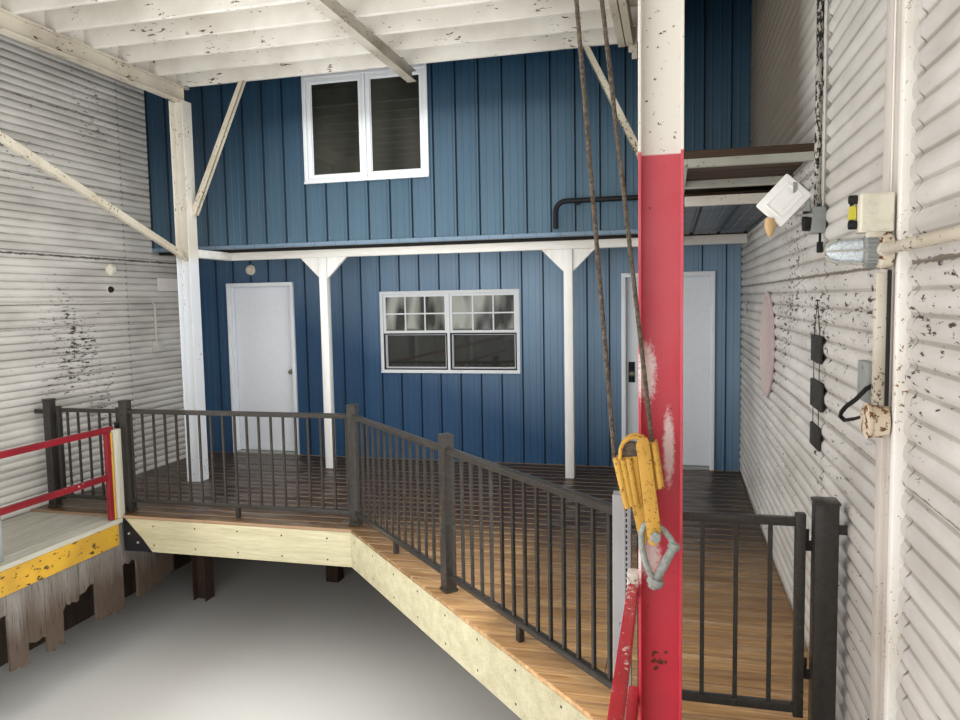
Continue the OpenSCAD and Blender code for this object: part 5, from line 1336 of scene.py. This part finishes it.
def railing_post(p, wide, turn):
    shaft = box((p[0] - wide / 2, p[1] - wide / 2, DECK), (p[0] + wide / 2, p[1] + wide / 2, POST_TOP),
                0.004, 2)
    w = wide / 2 + 0.004
    skirt = box((p[0] - w - 0.003, p[1] - w - 0.003, DECK),
                (p[0] + w + 0.003, p[1] + w + 0.003, DECK + 0.022), 0.005, 2)
    outline([(p[0] + a * w, p[1] + b * w, POST_TOP) for a, b in ((-1, -1), (1, -1), (1, 1), (-1, 1))])
    bpy.ops.mesh.edge_face_add()
    pull((0, 0, 0.009))
    bpy.ops.mesh.inset(thickness=0.012)
    bpy.ops.transform.translate(value=(0, 0, 0.005))
    normals_out()
    parts = [shaft, skirt, done()]
    return turned_about(parts, turn, (*p, 0)) if turn else parts


def railing_panel(a, b):
    """Handrail, bottom rail and balusters between two posts' middles"""
    length = math.hypot(b[0] - a[0], b[1] - a[1])
    x0, x1 = a[0] + 0.034, a[0] + length - 0.034
    y = a[1]
    half = [(0.008, 2.200), (0.021, 2.196), (0.025, 2.186), (0.025, 2.162), (0.018, 2.162), (0.016, 2.172)]
    near = [(-out, z) for out, z in half]
    hand = solid([(x0, y + out, z) for out, z in near[3::-1] + half + near[:3:-1]], (x1 - x0, 0, 0), 0.0008)
    low = box((x0, y - 0.0175, 1.365), (x1, y + 0.0175, 1.400), 0.003, 2)
    insert = box((x0, y - 0.012, 2.158), (x1, y + 0.012, 2.172), 0.002)
    count = int(length / BAR_STEP)
    first = (length - (count - 1) * BAR_STEP) / 2
    bar = box((a[0] + first - 0.009, y - 0.009, 1.398), (a[0] + first + 0.009, y + 0.009, 2.160), 0.0018)
    bars = [moved(bar, (i * BAR_STEP, 0, 0)) for i in range(count)]
    middle = a[0] + length / 2
    foot = box((middle - 0.018, y - 0.018, DECK), (middle + 0.018, y + 0.018, 1.366), 0.003)
    parts = [hand, low, insert, foot] + bars
    turn = math.atan2(b[1] - a[1], b[0] - a[0])
    drop([bar])
    return turned_about(parts, turn, (*a, 0)) if abs(turn) > 0.01 else parts


GATE_LOW, GATE_HIGH = 1.347, 2.210
GATE_LEVELS = (GATE_LOW + 0.15, GATE_HIGH - 0.15 - 0.014)
LEFT_GATE, RIGHT_GATE = (-2.9595, 2.341), (3.023, -0.0225)
posts = []
for p in (P1, P2, P3):
    posts += railing_post(p, 0.076, 0)
posts += railing_post(P4, 0.076, RAIL_TURN)
posts += railing_post(P6, 0.089, 0)
posts += hinge_barrels(*LEFT_GATE, -0.035, GATE_LEVELS) + hinge_barrels(*RIGHT_GATE, 0.035, GATE_LEVELS)
for low, high in (((-INNER, P1[1] - 0.02, 2.14), (P1[0] - 0.038, P1[1] - 0.014, 2.18)),
                  ((P6[0] + 0.0445, P6[1] - 0.02, 2.14), (INNER, P6[1] - 0.014, 2.18))):
    posts.append(box(low, high, 0.0015))
piece("railing_posts_bronze", posts, BRONZE, ["railing_posts"])
x, y = P5
channel = [box((x - 0.038, y - 0.038, DECK), (x + 0.038, y + 0.038, POST_TOP), 0.002),
           box((x - 0.050, y - 0.050, DECK), (x + 0.050, y + 0.050, DECK + 0.010), 0.002),
           box((x + 0.010, y - 0.0405, DECK + 0.02), (x + 0.014, y - 0.037, DECK + 0.965), 0.001),
           box((x + 0.026, y - 0.0405, DECK + 0.02), (x + 0.030, y - 0.037, DECK + 0.965), 0.001)]
piece("slotted_end_post", channel, SLOTTED_GREY)
# Black blocks on the channel face where the slots are: painted shade of the open slots
slot = box((x + 0.0165, y - 0.0390, DECK + 0.03), (x + 0.0235, y - 0.0372, DECK + 0.045), 0.0006)
slots = [moved(slot, (0, 0, i * 0.024)) for i in range(38)]
drop([slot])
piece("end_post_slots", slots, BLACK_RUBBER)
piece("front_railing_panel", railing_panel(P2, P3), BRONZE, ["front_railing"])
piece("diagonal_railing_panels", railing_panel(P3, P4) + railing_panel(P4, P5), BRONZE,
      ["diagonal_railing"])


def gate(name, hinge, clear, side):
    """A gate that reaches side-ways from its hinge, with its latch on the free stile"""
    x, y = hinge
    back = y - 0.008
    near, far = 0.0125, clear - 0.0375
    count = int((far - near) / BAR_STEP)
    parts = []

    def at(a, b, y0, y1, z0, z1, bevel=0.003, segments=2):
        parts.append(box((x + side * a, y0, z0), (x + side * b, y1, z1), bevel, segments))

    for a in (near, far - 0.040):
        at(a, a + 0.040, back - 0.040, back, GATE_LOW, GATE_HIGH)
    for z in (GATE_LOW + 0.018, GATE_HIGH - 0.053):
        at(near + 0.039, far - 0.039, back - 0.0375, back - 0.0025, z, z + 0.035)
    for i in range(1, count):
        middle = near + i * (far - near) / count
        at(middle - 0.009, middle + 0.009, back - 0.029, back - 0.011, GATE_LOW + 0.045, GATE_HIGH - 0.045,
           0.0018, 1)
    parts += hinge_barrels(x, y, side * 0.040, GATE_LEVELS, 0.0453)
    piece(name + "_panel", parts, BRONZE, [name], name + "_leaf")
    lx, lz = x + side * (far - 0.02), GATE_HIGH - 0.16
    latch = [box((lx - 0.022, back - 0.062, lz - 0.03), (lx + 0.022, back - 0.040, lz + 0.03), 0.004, 2),
             rod((lx, back - 0.075, lz), (lx, back - 0.060, lz), 0.012, 16, 0.003)]
    piece(name + "_latch", latch, BLACK_STEEL, [], name + "_leaf")


gate("left_gate", LEFT_GATE, 0.734, 1)
gate("right_gate", RIGHT_GATE, 0.7225, -1)


# Red rails and the posts that end them

for side, x0, near, finish in (("left", POST_LEFT + POST / 2, (2.150, 2.055), DARK_RED),
                               ("right", POST_RIGHT - POST / 2 - 0.040, (-0.543, -0.543), RED_STEEL)):
    rails = [box((x0 + 0.001, FRONT + 0.05, top - 0.050), (x0 + 0.039, y1, top), 0.005, 2)
             for top, y1 in zip((2.070, 1.660), near)]
    if side == "left":
        rails.append(box((x0 + 0.012, 2.050, WALKWAY), (x0 + 0.050, 2.094, 2.021), 0.002))
    piece("red_rail_bars_" + side, rails, finish, ["red_rails"] if side == "left" else [])
edge = [box((-2.232, 2.094, WALKWAY), (-2.186, 2.108, 2.018), 0.002)]
piece("yellow_rail_edge", edge, YELLOW_PAINT)
ends = [box((-2.240, 2.120, WALKWAY), (-2.178, 2.205, 2.040), 0.006, 2)]
piece("white_rail_post", ends, RAIL_BOARD, ["rail_posts"])
tip = [box((POST_RIGHT - POST / 2 - 0.041, -0.602, 2.030), (POST_RIGHT - POST / 2 + 0.001, -0.541, 2.108),
           0.006, 2)]
piece("white_rail_end", tip, BEIGE_PAINT)
grey = [box((-2.294, 0.975, WALKWAY), (-2.244, 1.025, 2.070), 0.004, 2)]
piece("grey_rail_post", grey, GREY_PLASTIC)


# Balcony over the right walkway

BALC_X, BALC_Y, BALC_TOP = 2.518, 0.760, 3.840
planks = []
for i in range(23):
    a = BALC_Y + i * (CABIN - BALC_Y) / 23
    planks.append(box((BALC_X, a + 0.002, 3.800), (INNER, a + (CABIN - BALC_Y) / 23 - 0.003, BALC_TOP),
                      0.004))
piece("balcony_planks", planks, BALCONY_WOOD, ["balcony_floor"])
rim = [box((BALC_X + 0.037, BALC_Y + i * 0.755, 3.757), (INNER, BALC_Y + i * 0.755 + 0.038, 3.800), 0.003)
       for i in range(5)]
rim += [box((BALC_X, BALC_Y, 3.757), (BALC_X + 0.038, CABIN, 3.800), 0.003),
        box((BALC_X - 0.048, BALC_Y, 3.757), (BALC_X, BALC_Y + 0.038, BEAM_LOW), 0.003)]
piece("balcony_rim_and_joists", rim, PALE_GALVANISED, ["balcony_frame"])
SOFFIT_Y, SOFFIT_LOW = low_of("balcony_soffit").y, low_of("balcony_soffit").z
line = [(x, SOFFIT_Y + 0.04, SOFFIT_LOW + 0.018 - d) for x, d in ribs(BALC_X + 0.04, INNER - 0.001, 0.05)]
soffit = thicken(strip(line, (0, CABIN - SOFFIT_Y - 0.04, 0)), 0.001)
battens = [box((BALC_X + 0.038, y, 3.700), (INNER, y + 0.045, 3.757), 0.003)
           for y in (SOFFIT_Y + 0.05, 2.8, 3.955)]
piece("balcony_soffit_sheet", [soffit], SOFFIT_SHEET, ["balcony_soffit"])
piece("balcony_soffit_battens", battens, BALCONY_WOOD)
section = ((0, 0), (0.05, 0), (0.05, 0.006), (0.008, 0.006), (0.008, 0.060), (0, 0.060))
trim = solid([(BALC_X + 0.038, SOFFIT_Y + back, SOFFIT_LOW + up) for back, up in section],
             (INNER - BALC_X - 0.038, 0, 0), 0.001)
piece("balcony_soffit_trim", trim, BEIGE_PAINT)
pale = [box((BALC_X + 0.038, BALC_Y + 0.755 + 0.045, 3.776), (INNER, BALC_Y + 0.755 + 0.21, 3.799), 0.003)]
piece("balcony_pale_board", pale, LOFT_PAINT_SHADED)

RAIL_Y, RAIL_Z, BEND = 3.925, 4.025, 0.100
path = [(1.400, RAIL_Y, RAIL_Z - 0.26), (1.400, RAIL_Y, RAIL_Z - BEND)]
path += [(1.400 + BEND - BEND * math.cos(t), RAIL_Y, RAIL_Z - BEND + BEND * math.sin(t))
         for t in map(math.radians, range(15, 91, 15))]
path.append((2.480, RAIL_Y, RAIL_Z))


def tube(path, radius, sides=14):
    """Round bar bent along a path: a ring of points pulled and turned from bend to bend"""
    points = [Vector(p) for p in path]
    deselect()
    first = (points[1] - points[0]).normalized()
    bpy.ops.mesh.primitive_circle_add(vertices=sides, radius=radius, fill_type="NGON", location=points[0],
                                      rotation=first.to_track_quat("Z", "Y").to_euler())
    bpy.ops.object.transform_apply()
    edit_all()
    heading = first
    for i in range(1, len(points)):
        pull(points[i] - points[i - 1])
        ahead = (points[i + 1] - points[i]).normalized() if i + 1 < len(points) else heading
        half = (heading + ahead).normalized()
        mesh = bmesh.from_edit_mesh(bpy.context.object.data)
        ends = [v for v in mesh.verts if v.select]
        for v in ends:
            off = v.co - points[i]
            off -= heading * off.dot(heading)
            if (ahead - heading).length > 0.001:
                off = off - half * (off.dot(half))
                off = off.normalized() * radius if off.length else off
            else:
                off = off.normalized() * radius
            v.co = points[i] + off
        bmesh.update_edit_mesh(bpy.context.object.data)
        heading = ahead
    normals_out()
    return done()


bars = [tube(path, 0.025)]
for x in (1.600, 2.280):
    bars.append(rod((x, RAIL_Y, RAIL_Z), (x, CABIN + 0.010, RAIL_Z), 0.0125, 12))
    bars.append(rod((x, CABIN - 0.002, RAIL_Z), (x, CABIN + 0.010, RAIL_Z), 0.034, 20, 0.002))
piece("black_pipe_rail", bars, BLACK_STEEL, ["pipe_rail"], smooth=50)


# Lift tackle: wire ropes, sheave block, shackle

CABLE_Y = -0.661


def wire_rope(top, low, radius):
    """Six strands laid round each other, drawn as a lobed section that turns as it is pulled"""
    top, low = Vector(top), Vector(low)
    deselect()
    bpy.ops.mesh.primitive_circle_add(vertices=18, radius=radius, fill_type="NGON", location=top)
    edit_all()
    mesh = bmesh.from_edit_mesh(bpy.context.object.data)
    for i, v in enumerate(mesh.verts):
        v.co *= 1.0 if i % 3 else 0.80
    bmesh.update_edit_mesh(bpy.context.object.data)
    count = 150
    step = (low - top) / count
    for i in range(count):
        pull(step)
        bpy.ops.transform.rotate(value=math.radians(38), orient_axis="Z",
                                 center_override=top + step * (i + 1))
    normals_out()
    return done()


ropes = [wire_rope((2.085, CABLE_Y, 5.139), (2.287, CABLE_Y, 2.535), 0.008),
         wire_rope((2.135, CABLE_Y, 5.139), (2.416, CABLE_Y, 2.590), 0.008)]
for s in (-1, 1):
    x = LIFT_X + s * 0.025
    ropes.append(rod((x, CABLE_Y, 5.139), (x, CABLE_Y, 5.07), 0.0115, 14, 0.002))
piece("lift_wire_ropes", ropes, RUSTY_ROPE, ["lift_cables"])


def plate(corners, y, thick, bevel=0.002):
    """A flat plate of the block, cut to its corners at one depth"""
    return solid([(x, y, z) for x, z in corners], (0, thick, 0), bevel, 2)


FACE = CABLE_Y - 0.040
LEFT_CHEEK = [(2.282, 2.545), (2.366, 2.556), (2.384, 2.397), (2.321, 2.366)]
RIGHT_CHEEK = [(2.398, 2.597), (2.431, 2.609), (2.454, 2.449), (2.421, 2.436)]
BACK_STRAP = [(2.342, 2.380), (2.395, 2.400), (2.400, 2.300), (2.396, 2.236), (2.372, 2.236)]
STRAP = [(2.362, 2.600), (2.370, 2.618), (2.386, 2.628), (2.400, 2.624), (2.407, 2.608), (2.446, 2.306),
         (2.443, 2.266), (2.428, 2.250), (2.410, 2.252), (2.402, 2.268)]
block = [plate(LEFT_CHEEK, FACE + 0.010, 0.056), plate(RIGHT_CHEEK, FACE + 0.010, 0.056),
         plate(STRAP, FACE - 0.006, 0.012), plate(BACK_STRAP, FACE + 0.060, 0.010)]
for share in (0.10, 0.34, 0.58):
    top = (2.282 + 0.084 * share, 2.543 + 0.011 * share)
    low = (2.321 + 0.063 * share, 2.370 + 0.031 * share)
    block.append(rod((top[0] + 0.006, FACE + 0.012, top[1]), (low[0] + 0.006, FACE + 0.012, low[1]), 0.0125,
                     14, 0.002))
block.append(rod((2.422, FACE + 0.012, 2.603), (2.445, FACE + 0.012, 2.449), 0.0125, 14, 0.002))
arch = [(2.308, 2.544), (2.310, 2.580), (2.320, 2.603), (2.340, 2.619), (2.362, 2.624), (2.388, 2.616)]
block.append(tube([(x, FACE + 0.006, z) for x, z in arch], 0.007, 10))
block.append(tube([(x, FACE + 0.052, z) for x, z in arch], 0.007, 10))
for x, z in ((2.388, 2.570), (2.398, 2.470)):
    block.append(rod((x, FACE - 0.010, z), (x, FACE - 0.004, z), 0.007, 12, 0.001))
piece("sheave_block_housing", block, YELLOW_STEEL, ["sheave_block"], smooth=40)
sheave = turned((2.345, CABLE_Y, 2.560), Y, Z, [(-0.022, 0), (-0.022, 0.040), (-0.008, 0.030), (0.008, 0.030),
                                                (0.022, 0.040), (0.022, 0)])
piece("sheaves", sheave, RUSTY_ROPE)
PIN_LOW, PIN_HIGH = Vector((2.426, CABLE_Y - 0.022, 2.116)), Vector((2.489, CABLE_Y - 0.022, 2.248))
way = (PIN_HIGH - PIN_LOW).normalized()
bow = [(2.426, 2.116), (2.408, 2.146), (2.391, 2.190), (2.380, 2.240), (2.379, 2.285), (2.389, 2.314),
       (2.408, 2.324), (2.432, 2.316), (2.456, 2.298), (2.476, 2.274), (2.489, 2.248)]
shackle = [tube([(x, CABLE_Y - 0.022, z) for x, z in bow], 0.011, 12),
           rod(PIN_LOW, PIN_HIGH, 0.0155, 14, 0.002),
           rod(PIN_LOW - way * 0.012, PIN_LOW + way * 0.014, 0.029, 18, 0.004),
           rod(PIN_HIGH - way * 0.012, PIN_HIGH + way * 0.010, 0.021, 18, 0.004),
           rod(PIN_LOW - way * 0.026, PIN_LOW - way * 0.011, 0.017, 6, 0.002),
           rod((2.428, FACE - 0.020, 2.286), (2.428, FACE + 0.076, 2.286), 0.013, 14, 0.002),
           rod((2.428, FACE - 0.030, 2.286), (2.428, FACE - 0.012, 2.286), 0.020, 6, 0.002)]
piece("lift_shackle", shackle, GALVANISED, ["shackle"], smooth=50)


# Wall fittings

COL_X, FIT_Y = 3.130, -0.715
beige = [box((3.0356, FIT_Y - 0.0393, 3.285), (COL_X, FIT_Y + 0.0393, 3.403), 0.006, 3),
         box((3.039, FIT_Y - 0.0415, 3.293), (3.126, FIT_Y - 0.0385, 3.395), 0.001),
         box((3.055, FIT_Y - 0.030, 3.262), (3.110, FIT_Y + 0.030, 3.287), 0.004, 2)]
tag = [solid([(3.010, FIT_Y + 0.006, 3.328), (3.034, FIT_Y + 0.006, 3.328), (3.034, FIT_Y + 0.006, 3.366),
              (3.026, FIT_Y + 0.006, 3.374), (3.014, FIT_Y + 0.006, 3.368)], (0, 0.016, 0), 0.002)]
knobs = [rod((3.012, FIT_Y + 0.012, z), (3.037, FIT_Y + 0.012, z), 0.014, 16, 0.002) for z in (3.312, 3.390)]
knobs += [rod((3.024, FIT_Y + 0.026, 3.300), (3.024, FIT_Y + 0.026, 3.400), 0.006, 10)]
rust_box = [turned((COL_X, FIT_Y, 2.70), X, Z, [(0, 0), (0, 0.052), (-0.046, 0.052), (-0.050, 0.056),
                                                (-0.058, 0.056), (-0.0637, 0.045), (-0.0637, 0)], 28),
            rod((COL_X - 0.030, FIT_Y + 0.048, 2.70), (COL_X - 0.030, FIT_Y + 0.085, 2.70), 0.015, 14, 0.003)]
channel = [box((3.090, FIT_Y - 0.020, 2.751), (COL_X, FIT_Y + 0.020, 3.162), 0.003, 2)]
small = [box((3.130, -0.480, 2.720), (INNER, -0.3266, 2.8616), 0.005, 2)]
for z in (2.742, 2.840):
    small.append(rod((3.127, -0.403, z), (3.131, -0.403, z), 0.006, 10))
square = [box((3.100, 0.456, 3.380), (INNER, 0.574, 3.498), 0.006, 2)]
cover = [rod((3.070, 0.515, 3.439), (3.101, 0.515, 3.439), 0.047, 24, 0.004)]
pale_cable = [rod((INNER - 0.010, 0.478, 3.40), (INNER - 0.010, 0.478, 6.20), 0.005, 10)]
riser = [rod((INNER - 0.030, 0.515, 3.496), (INNER - 0.030, 0.515, 6.20), 0.016, 14),
         rod((INNER - 0.030, 0.515, 3.496), (INNER - 0.030, 0.515, 3.540), 0.020, 14, 0.002)]
for z in (4.05, 4.75, 5.5):
    riser.append(box((INNER - 0.046, 0.495, z), (INNER, 0.535, z + 0.016), 0.002))
black = [rod((INNER - 0.020, 0.490, 3.29), (INNER - 0.020, 0.490, 3.34), 0.014, 12, 0.003),
         rod((INNER - 0.020, 0.490, 3.335), (INNER - 0.020, 0.490, 3.385), 0.006, 10),
         rod((COL_X - 0.008, FIT_Y - 0.030, 2.752), (COL_X - 0.008, FIT_Y - 0.030, 3.170), 0.006, 10)]
loop = [(INNER - 0.016, -0.50, 2.790), (3.118, -0.515, 2.778), (3.096, -0.470, 2.735),
        (3.080, -0.400, 2.700), (3.078, -0.340, 2.672), (3.082, -0.300, 2.650), (3.090, -0.330, 2.640),
        (3.096, -0.450, 2.664), (3.098, -0.560, 2.690), (3.100, -0.640, 2.700)]
bend = [(3.981 - 0.07 + 0.07 * math.cos(math.radians(t)), 3.075 + 0.07 * math.sin(math.radians(t)))
        for t in range(0, 91, 15)]
thin = [tube([(-INNER + 0.013, 3.981, 2.70)] + [(-INNER + 0.013, y, z) for y, z in bend]
             + [(-INNER + 0.013, -0.586, 3.145)], 0.013, 14)]
for z in (2.80, 3.02):
    thin.append(box((-INNER, 3.955, z), (-INNER + 0.028, 4.007, z + 0.014), 0.002))
left_box = [box((-INNER, 3.922, 2.590), (-INNER + 0.059, 4.040, 2.708), 0.005, 2)]
level = [rod((COL_X - 0.030, FIT_Y - 0.045, 3.231), (COL_X - 0.030, -2.50, 3.231), 0.017, 14, 0.002),
         rod((COL_X - 0.030, FIT_Y - 0.045, 3.231), (COL_X - 0.030, FIT_Y - 0.075, 3.231), 0.021, 14, 0.002),
         rod((COL_X - 0.030, -2.485, 3.231), (INNER, -2.485, 3.231), 0.022, 14, 0.002)]
# A thin white rod along the edge of the column's far flange: painted highlight
highlight_rod = [rod((COL_X + 0.012, -0.655, 3.405), (COL_X + 0.012, -0.655, 6.10), 0.004, 8)]
for name, parts, finish, smooth in (("switch_box", beige, BEIGE_PLASTIC, 35),
                                    ("switch_box_tag", tag, YELLOW_TAG, 35),
                                    ("switch_box_knobs", knobs + cover, BLACK_RUBBER, 35),
                                    ("round_junction_box", rust_box, RUSTY_BOX, 35),
                                    ("white_channel", channel, LEVEL_PAINT, 35),
                                    ("column_highlight_line", highlight_rod, LAMP_WHITE, 35),
                                    ("small_wall_box", small + square, GREY_PLASTIC, 35),
                                    ("riser_conduit", riser, FLAKED_CONDUIT, 50),
                                    ("level_conduit", level, LEVEL_PAINT, 50),
                                    ("thin_conduits", thin + left_box + pale_cable, CONDUIT_PAINT, 50),
                                    ("black_wall_cables", black + [tube(loop, 0.008, 10)], BLACK_RUBBER,
                                     60)):
    piece(name, parts, finish, ["wall_conduits"] if name == "switch_box" else [],
          smooth=smooth)

flood_at = Vector((2.975, 0.441, 3.530))
half = Vector((0.097, 0.015, 0.0755))
head = box(flood_at - half, flood_at + half, 0.008, 2)
lens = ring(flood_at.x - 0.070, flood_at.x + 0.070, flood_at.z - 0.048, flood_at.z + 0.048,
            flood_at.y - 0.019, flood_at.y - 0.012, 0.008, 0.001)
inner_lens = box(flood_at + Vector((-0.045, -0.0175, -0.026)), flood_at + Vector((0.045, -0.014, 0.026)),
                 0.001)
fins = [box(flood_at + Vector((-0.075 + i * 0.0165, 0.010, -0.062)),
            flood_at + Vector((-0.071 + i * 0.0165, 0.024, 0.062)), 0.001) for i in range(10)]
lamp_head = turned_about([head, lens, inner_lens] + fins, math.radians(-47), flood_at, "Y")
piece("floodlight", lamp_head, LAMP_WHITE, ["wall_lights"])
knuckle = [turned((3.012, 0.452, 3.585), X, Z,
                  [(0, 0), (0, 0.037), (0.018, 0.033), (0.024, 0.019), (0.040, 0.021), (0.050, 0.009),
                   (0.050, 0)], 16),
           turned((3.035, 0.470, 3.462), X, Z,
                  [(0, 0.018), (0, -0.004), (0.045, -0.007), (0.069, -0.014), (0.069, 0.018)], 16),
           tube([(3.050, 0.455, 3.590), (3.072, 0.458, 3.570), (3.082, 0.464, 3.530),
                 (3.084, 0.470, 3.480)], 0.014, 12)]
piece("floodlight_knuckle", knuckle, GALVANISED, smooth=50)
eye = turned((2.918, 0.440, 3.41), Z, X, [(0.042, 0), (0.042, 0.022), (0.010, 0.026), (-0.018, 0.020),
                                          (-0.038, 0.010), (-0.042, 0)], 20)
piece("floodlight_sensor", eye, TAN_PLASTIC, smooth=50)
jar_at = (COL_X, FIT_Y, 3.231)
drum = turned(jar_at, X, Z,
              [(0, 0), (0, 0.055), (-0.008, 0.058), (-0.030, 0.058), (-0.036, 0.052), (-0.042, 0.052),
               (-0.042, 0)], 28)
piece("jar_light_drum", drum, RUSTY_BOX)
collar = [turned(jar_at, X, Z,
                 [(-0.040, 0), (-0.040, 0.050), (-0.074, 0.048), (-0.078, 0.043), (-0.084, 0.042),
                  (-0.084, 0)], 28)]
rib_bar = box((COL_X - 0.073, FIT_Y - 0.003, jar_at[2] + 0.046),
              (COL_X - 0.042, FIT_Y + 0.003, jar_at[2] + 0.053), 0.001)
collar += [moved(rib_bar, (0, 0, 0), math.radians(15 * i), jar_at, "X") for i in range(24)]
drop([rib_bar])
piece("jar_light_collar", collar, GREY_PLASTIC)
jar = turned(jar_at, X, Z, [(-0.082, 0), (-0.082, 0.038), (-0.150, 0.034), (-0.172, 0.025), (-0.184, 0.010),
                            (-0.186, 0)], 28)
piece("jar_light_glass", jar, JAR_GLASS, smooth=50)
guard = []
for i in range(6):
    a = math.pi * i / 3
    guard.append(tube([(COL_X - along, FIT_Y + reach * math.cos(a), jar_at[2] + reach * math.sin(a))
                       for along, reach in ((0.080, 0.046), (0.150, 0.042), (0.178, 0.028), (0.188, 0))],
                      0.003, 6))
piece("jar_light_guard", guard, PALE_GALVANISED, smooth=50)

# Lamps, a camera and bare boards on the walls

lamp_parts = [turned((-INNER, 3.335, 3.480), X, Y,
                     [(0, 0), (0, 0.065), (0.022, 0.062), (0.034, 0.039), (0.052, 0.031), (0.058, 0)]),
              rod((-INNER, 3.303, 3.278), (-INNER + 0.016, 3.303, 3.278), 0.040, 20, 0.003),
              turned((-2.424, PORCH, 3.510), Y, X,
                     [(0.017, 0), (0.017, 0.063), (0.002, 0.060), (-0.010, 0.039), (-0.024, 0.034),
                      (-0.022, 0)])]
piece("round_wall_lamps", lamp_parts, BEIGE_PLASTIC, smooth=40)
dome = turned((-INNER, 3.303, 3.278), X, Y, [(0.014, 0), (0.014, 0.033), (0.034, 0.031), (0.050, 0.019),
                                             (0.056, 0)], 20)
piece("dome_camera", dome, BLACK_RUBBER, smooth=50)
plate = [box((-INNER + 0.001, 4.06, 3.270), (-INNER + 0.006, 4.70, 3.415), 0.001)]
piece("bare_sign_plate", plate, BARE_PLATE)
boards = []
for y0, y1, z0, z1 in ((0.46, 0.69, 2.775, 2.905), (0.42, 0.69, 2.555, 2.690), (0.46, 0.68, 2.365, 2.475)):
    boards.append(box((INNER - 0.018, y0, z0), (INNER - 0.004, y1, z1), 0.004, 2))
for y in (0.50, 0.64):
    boards.append(rod((INNER - 0.011, y, 2.905), (INNER - 0.011, 0.57, 3.07), 0.002, 8))
    for z0, z1 in ((2.690, 2.775), (2.475, 2.555)):
        boards.append(rod((INNER - 0.011, y, z0 - 0.005), (INNER - 0.011, y, z1 + 0.005), 0.002, 8))
boards.append(rod((INNER - 0.020, 0.57, 3.07), (INNER, 0.57, 3.07), 0.004, 8))
piece("bare_hanging_boards", boards, BARE_SIGN)
disc = turned((INNER, 2.53, 2.74), X, Y, [(-0.002, 0), (-0.002, 0.385), (-0.016, 0.385), (-0.018, 0.355),
                                          (-0.010, 0.345), (-0.010, 0)], 40)
piece("bare_round_sign", disc, ROUND_SIGN, smooth=40)


# Floor, light and the end

deselect()
bpy.ops.mesh.primitive_plane_add(size=90, location=(0, 0, -0.001))
floor = bpy.context.object
floor.name = "studio_floor"
floor_paint, shader, _, _ = begin("matt_studio_floor", Roughness=0.9)
shader.inputs["Base Color"].default_value = linear("DCDCDA")
floor.data.materials.append(floor_paint)

world = bpy.data.worlds.new("soft_room")
bpy.context.scene.world = world
world.use_nodes = True
tree = world.node_tree
tree.nodes.clear()
add = partial(add_node, tree)
ray = add("LightPath").node
seen = add("Math", [ray.outputs["Is Camera Ray"], ray.outputs["Is Glossy Ray"]], operation="MAXIMUM")
seen = add("Math", [seen, ray.outputs["Is Transmission Ray"]], operation="MAXIMUM")
level = add("MapRange", [seen, 0.0, 1.0, 0.75, 1.0])
glow = add("Background", {"Color": (1.0, 1.0, 1.0, 1.0), "Strength": level})
tree.links.new(glow, tree.nodes.new("ShaderNodeOutputWorld").inputs["Surface"])


def lamp(name, place, towards, size, size_y, power):
    data = bpy.data.lights.new(name, "AREA")
    data.shape = "RECTANGLE"
    data.size = size
    data.size_y = size_y
    data.energy = power
    light = bpy.data.objects.new(name, data)
    aim = (Vector(towards) - Vector(place)).to_track_quat("-Z", "Y")
    light.matrix_world = Matrix.Translation(place) @ aim.to_matrix().to_4x4()
    light.visible_camera = False
    light.visible_glossy = False
    bpy.context.scene.collection.objects.link(light)


lamp("open_front", (0, -8.9, 3.4), (0, 3, 3.0), 6.2, 4.0, 190)
lamp("from_the_water", (-0.3, -2.2, 0.15), (-0.3, -2.0, 5), 3.8, 9.0, 150)
lamp("under_the_loft", (0.0, -3.0, 5.05), (0.0, -3.0, 0), 3.6, 9.0, 90)
lamp("to_the_right_wall", (-1.6, -1.6, 2.9), (3.2, -1.6, 3.1), 9.0, 3.0, 185)
lamp("to_the_left_wall", (1.6, -1.6, 2.9), (-3.2, -1.6, 3.1), 9.0, 3.0, 225)
lamp("over_the_deck", (0.0, 2.9, 5.0), (0.0, 3.1, 0), 3.0, 1.8, 40)
lamp("soft_sky", (-9, -13, 14), (0, 0, 3), 12, 12, 1500)
bpy.context.scene.view_settings.view_transform = "Standard"
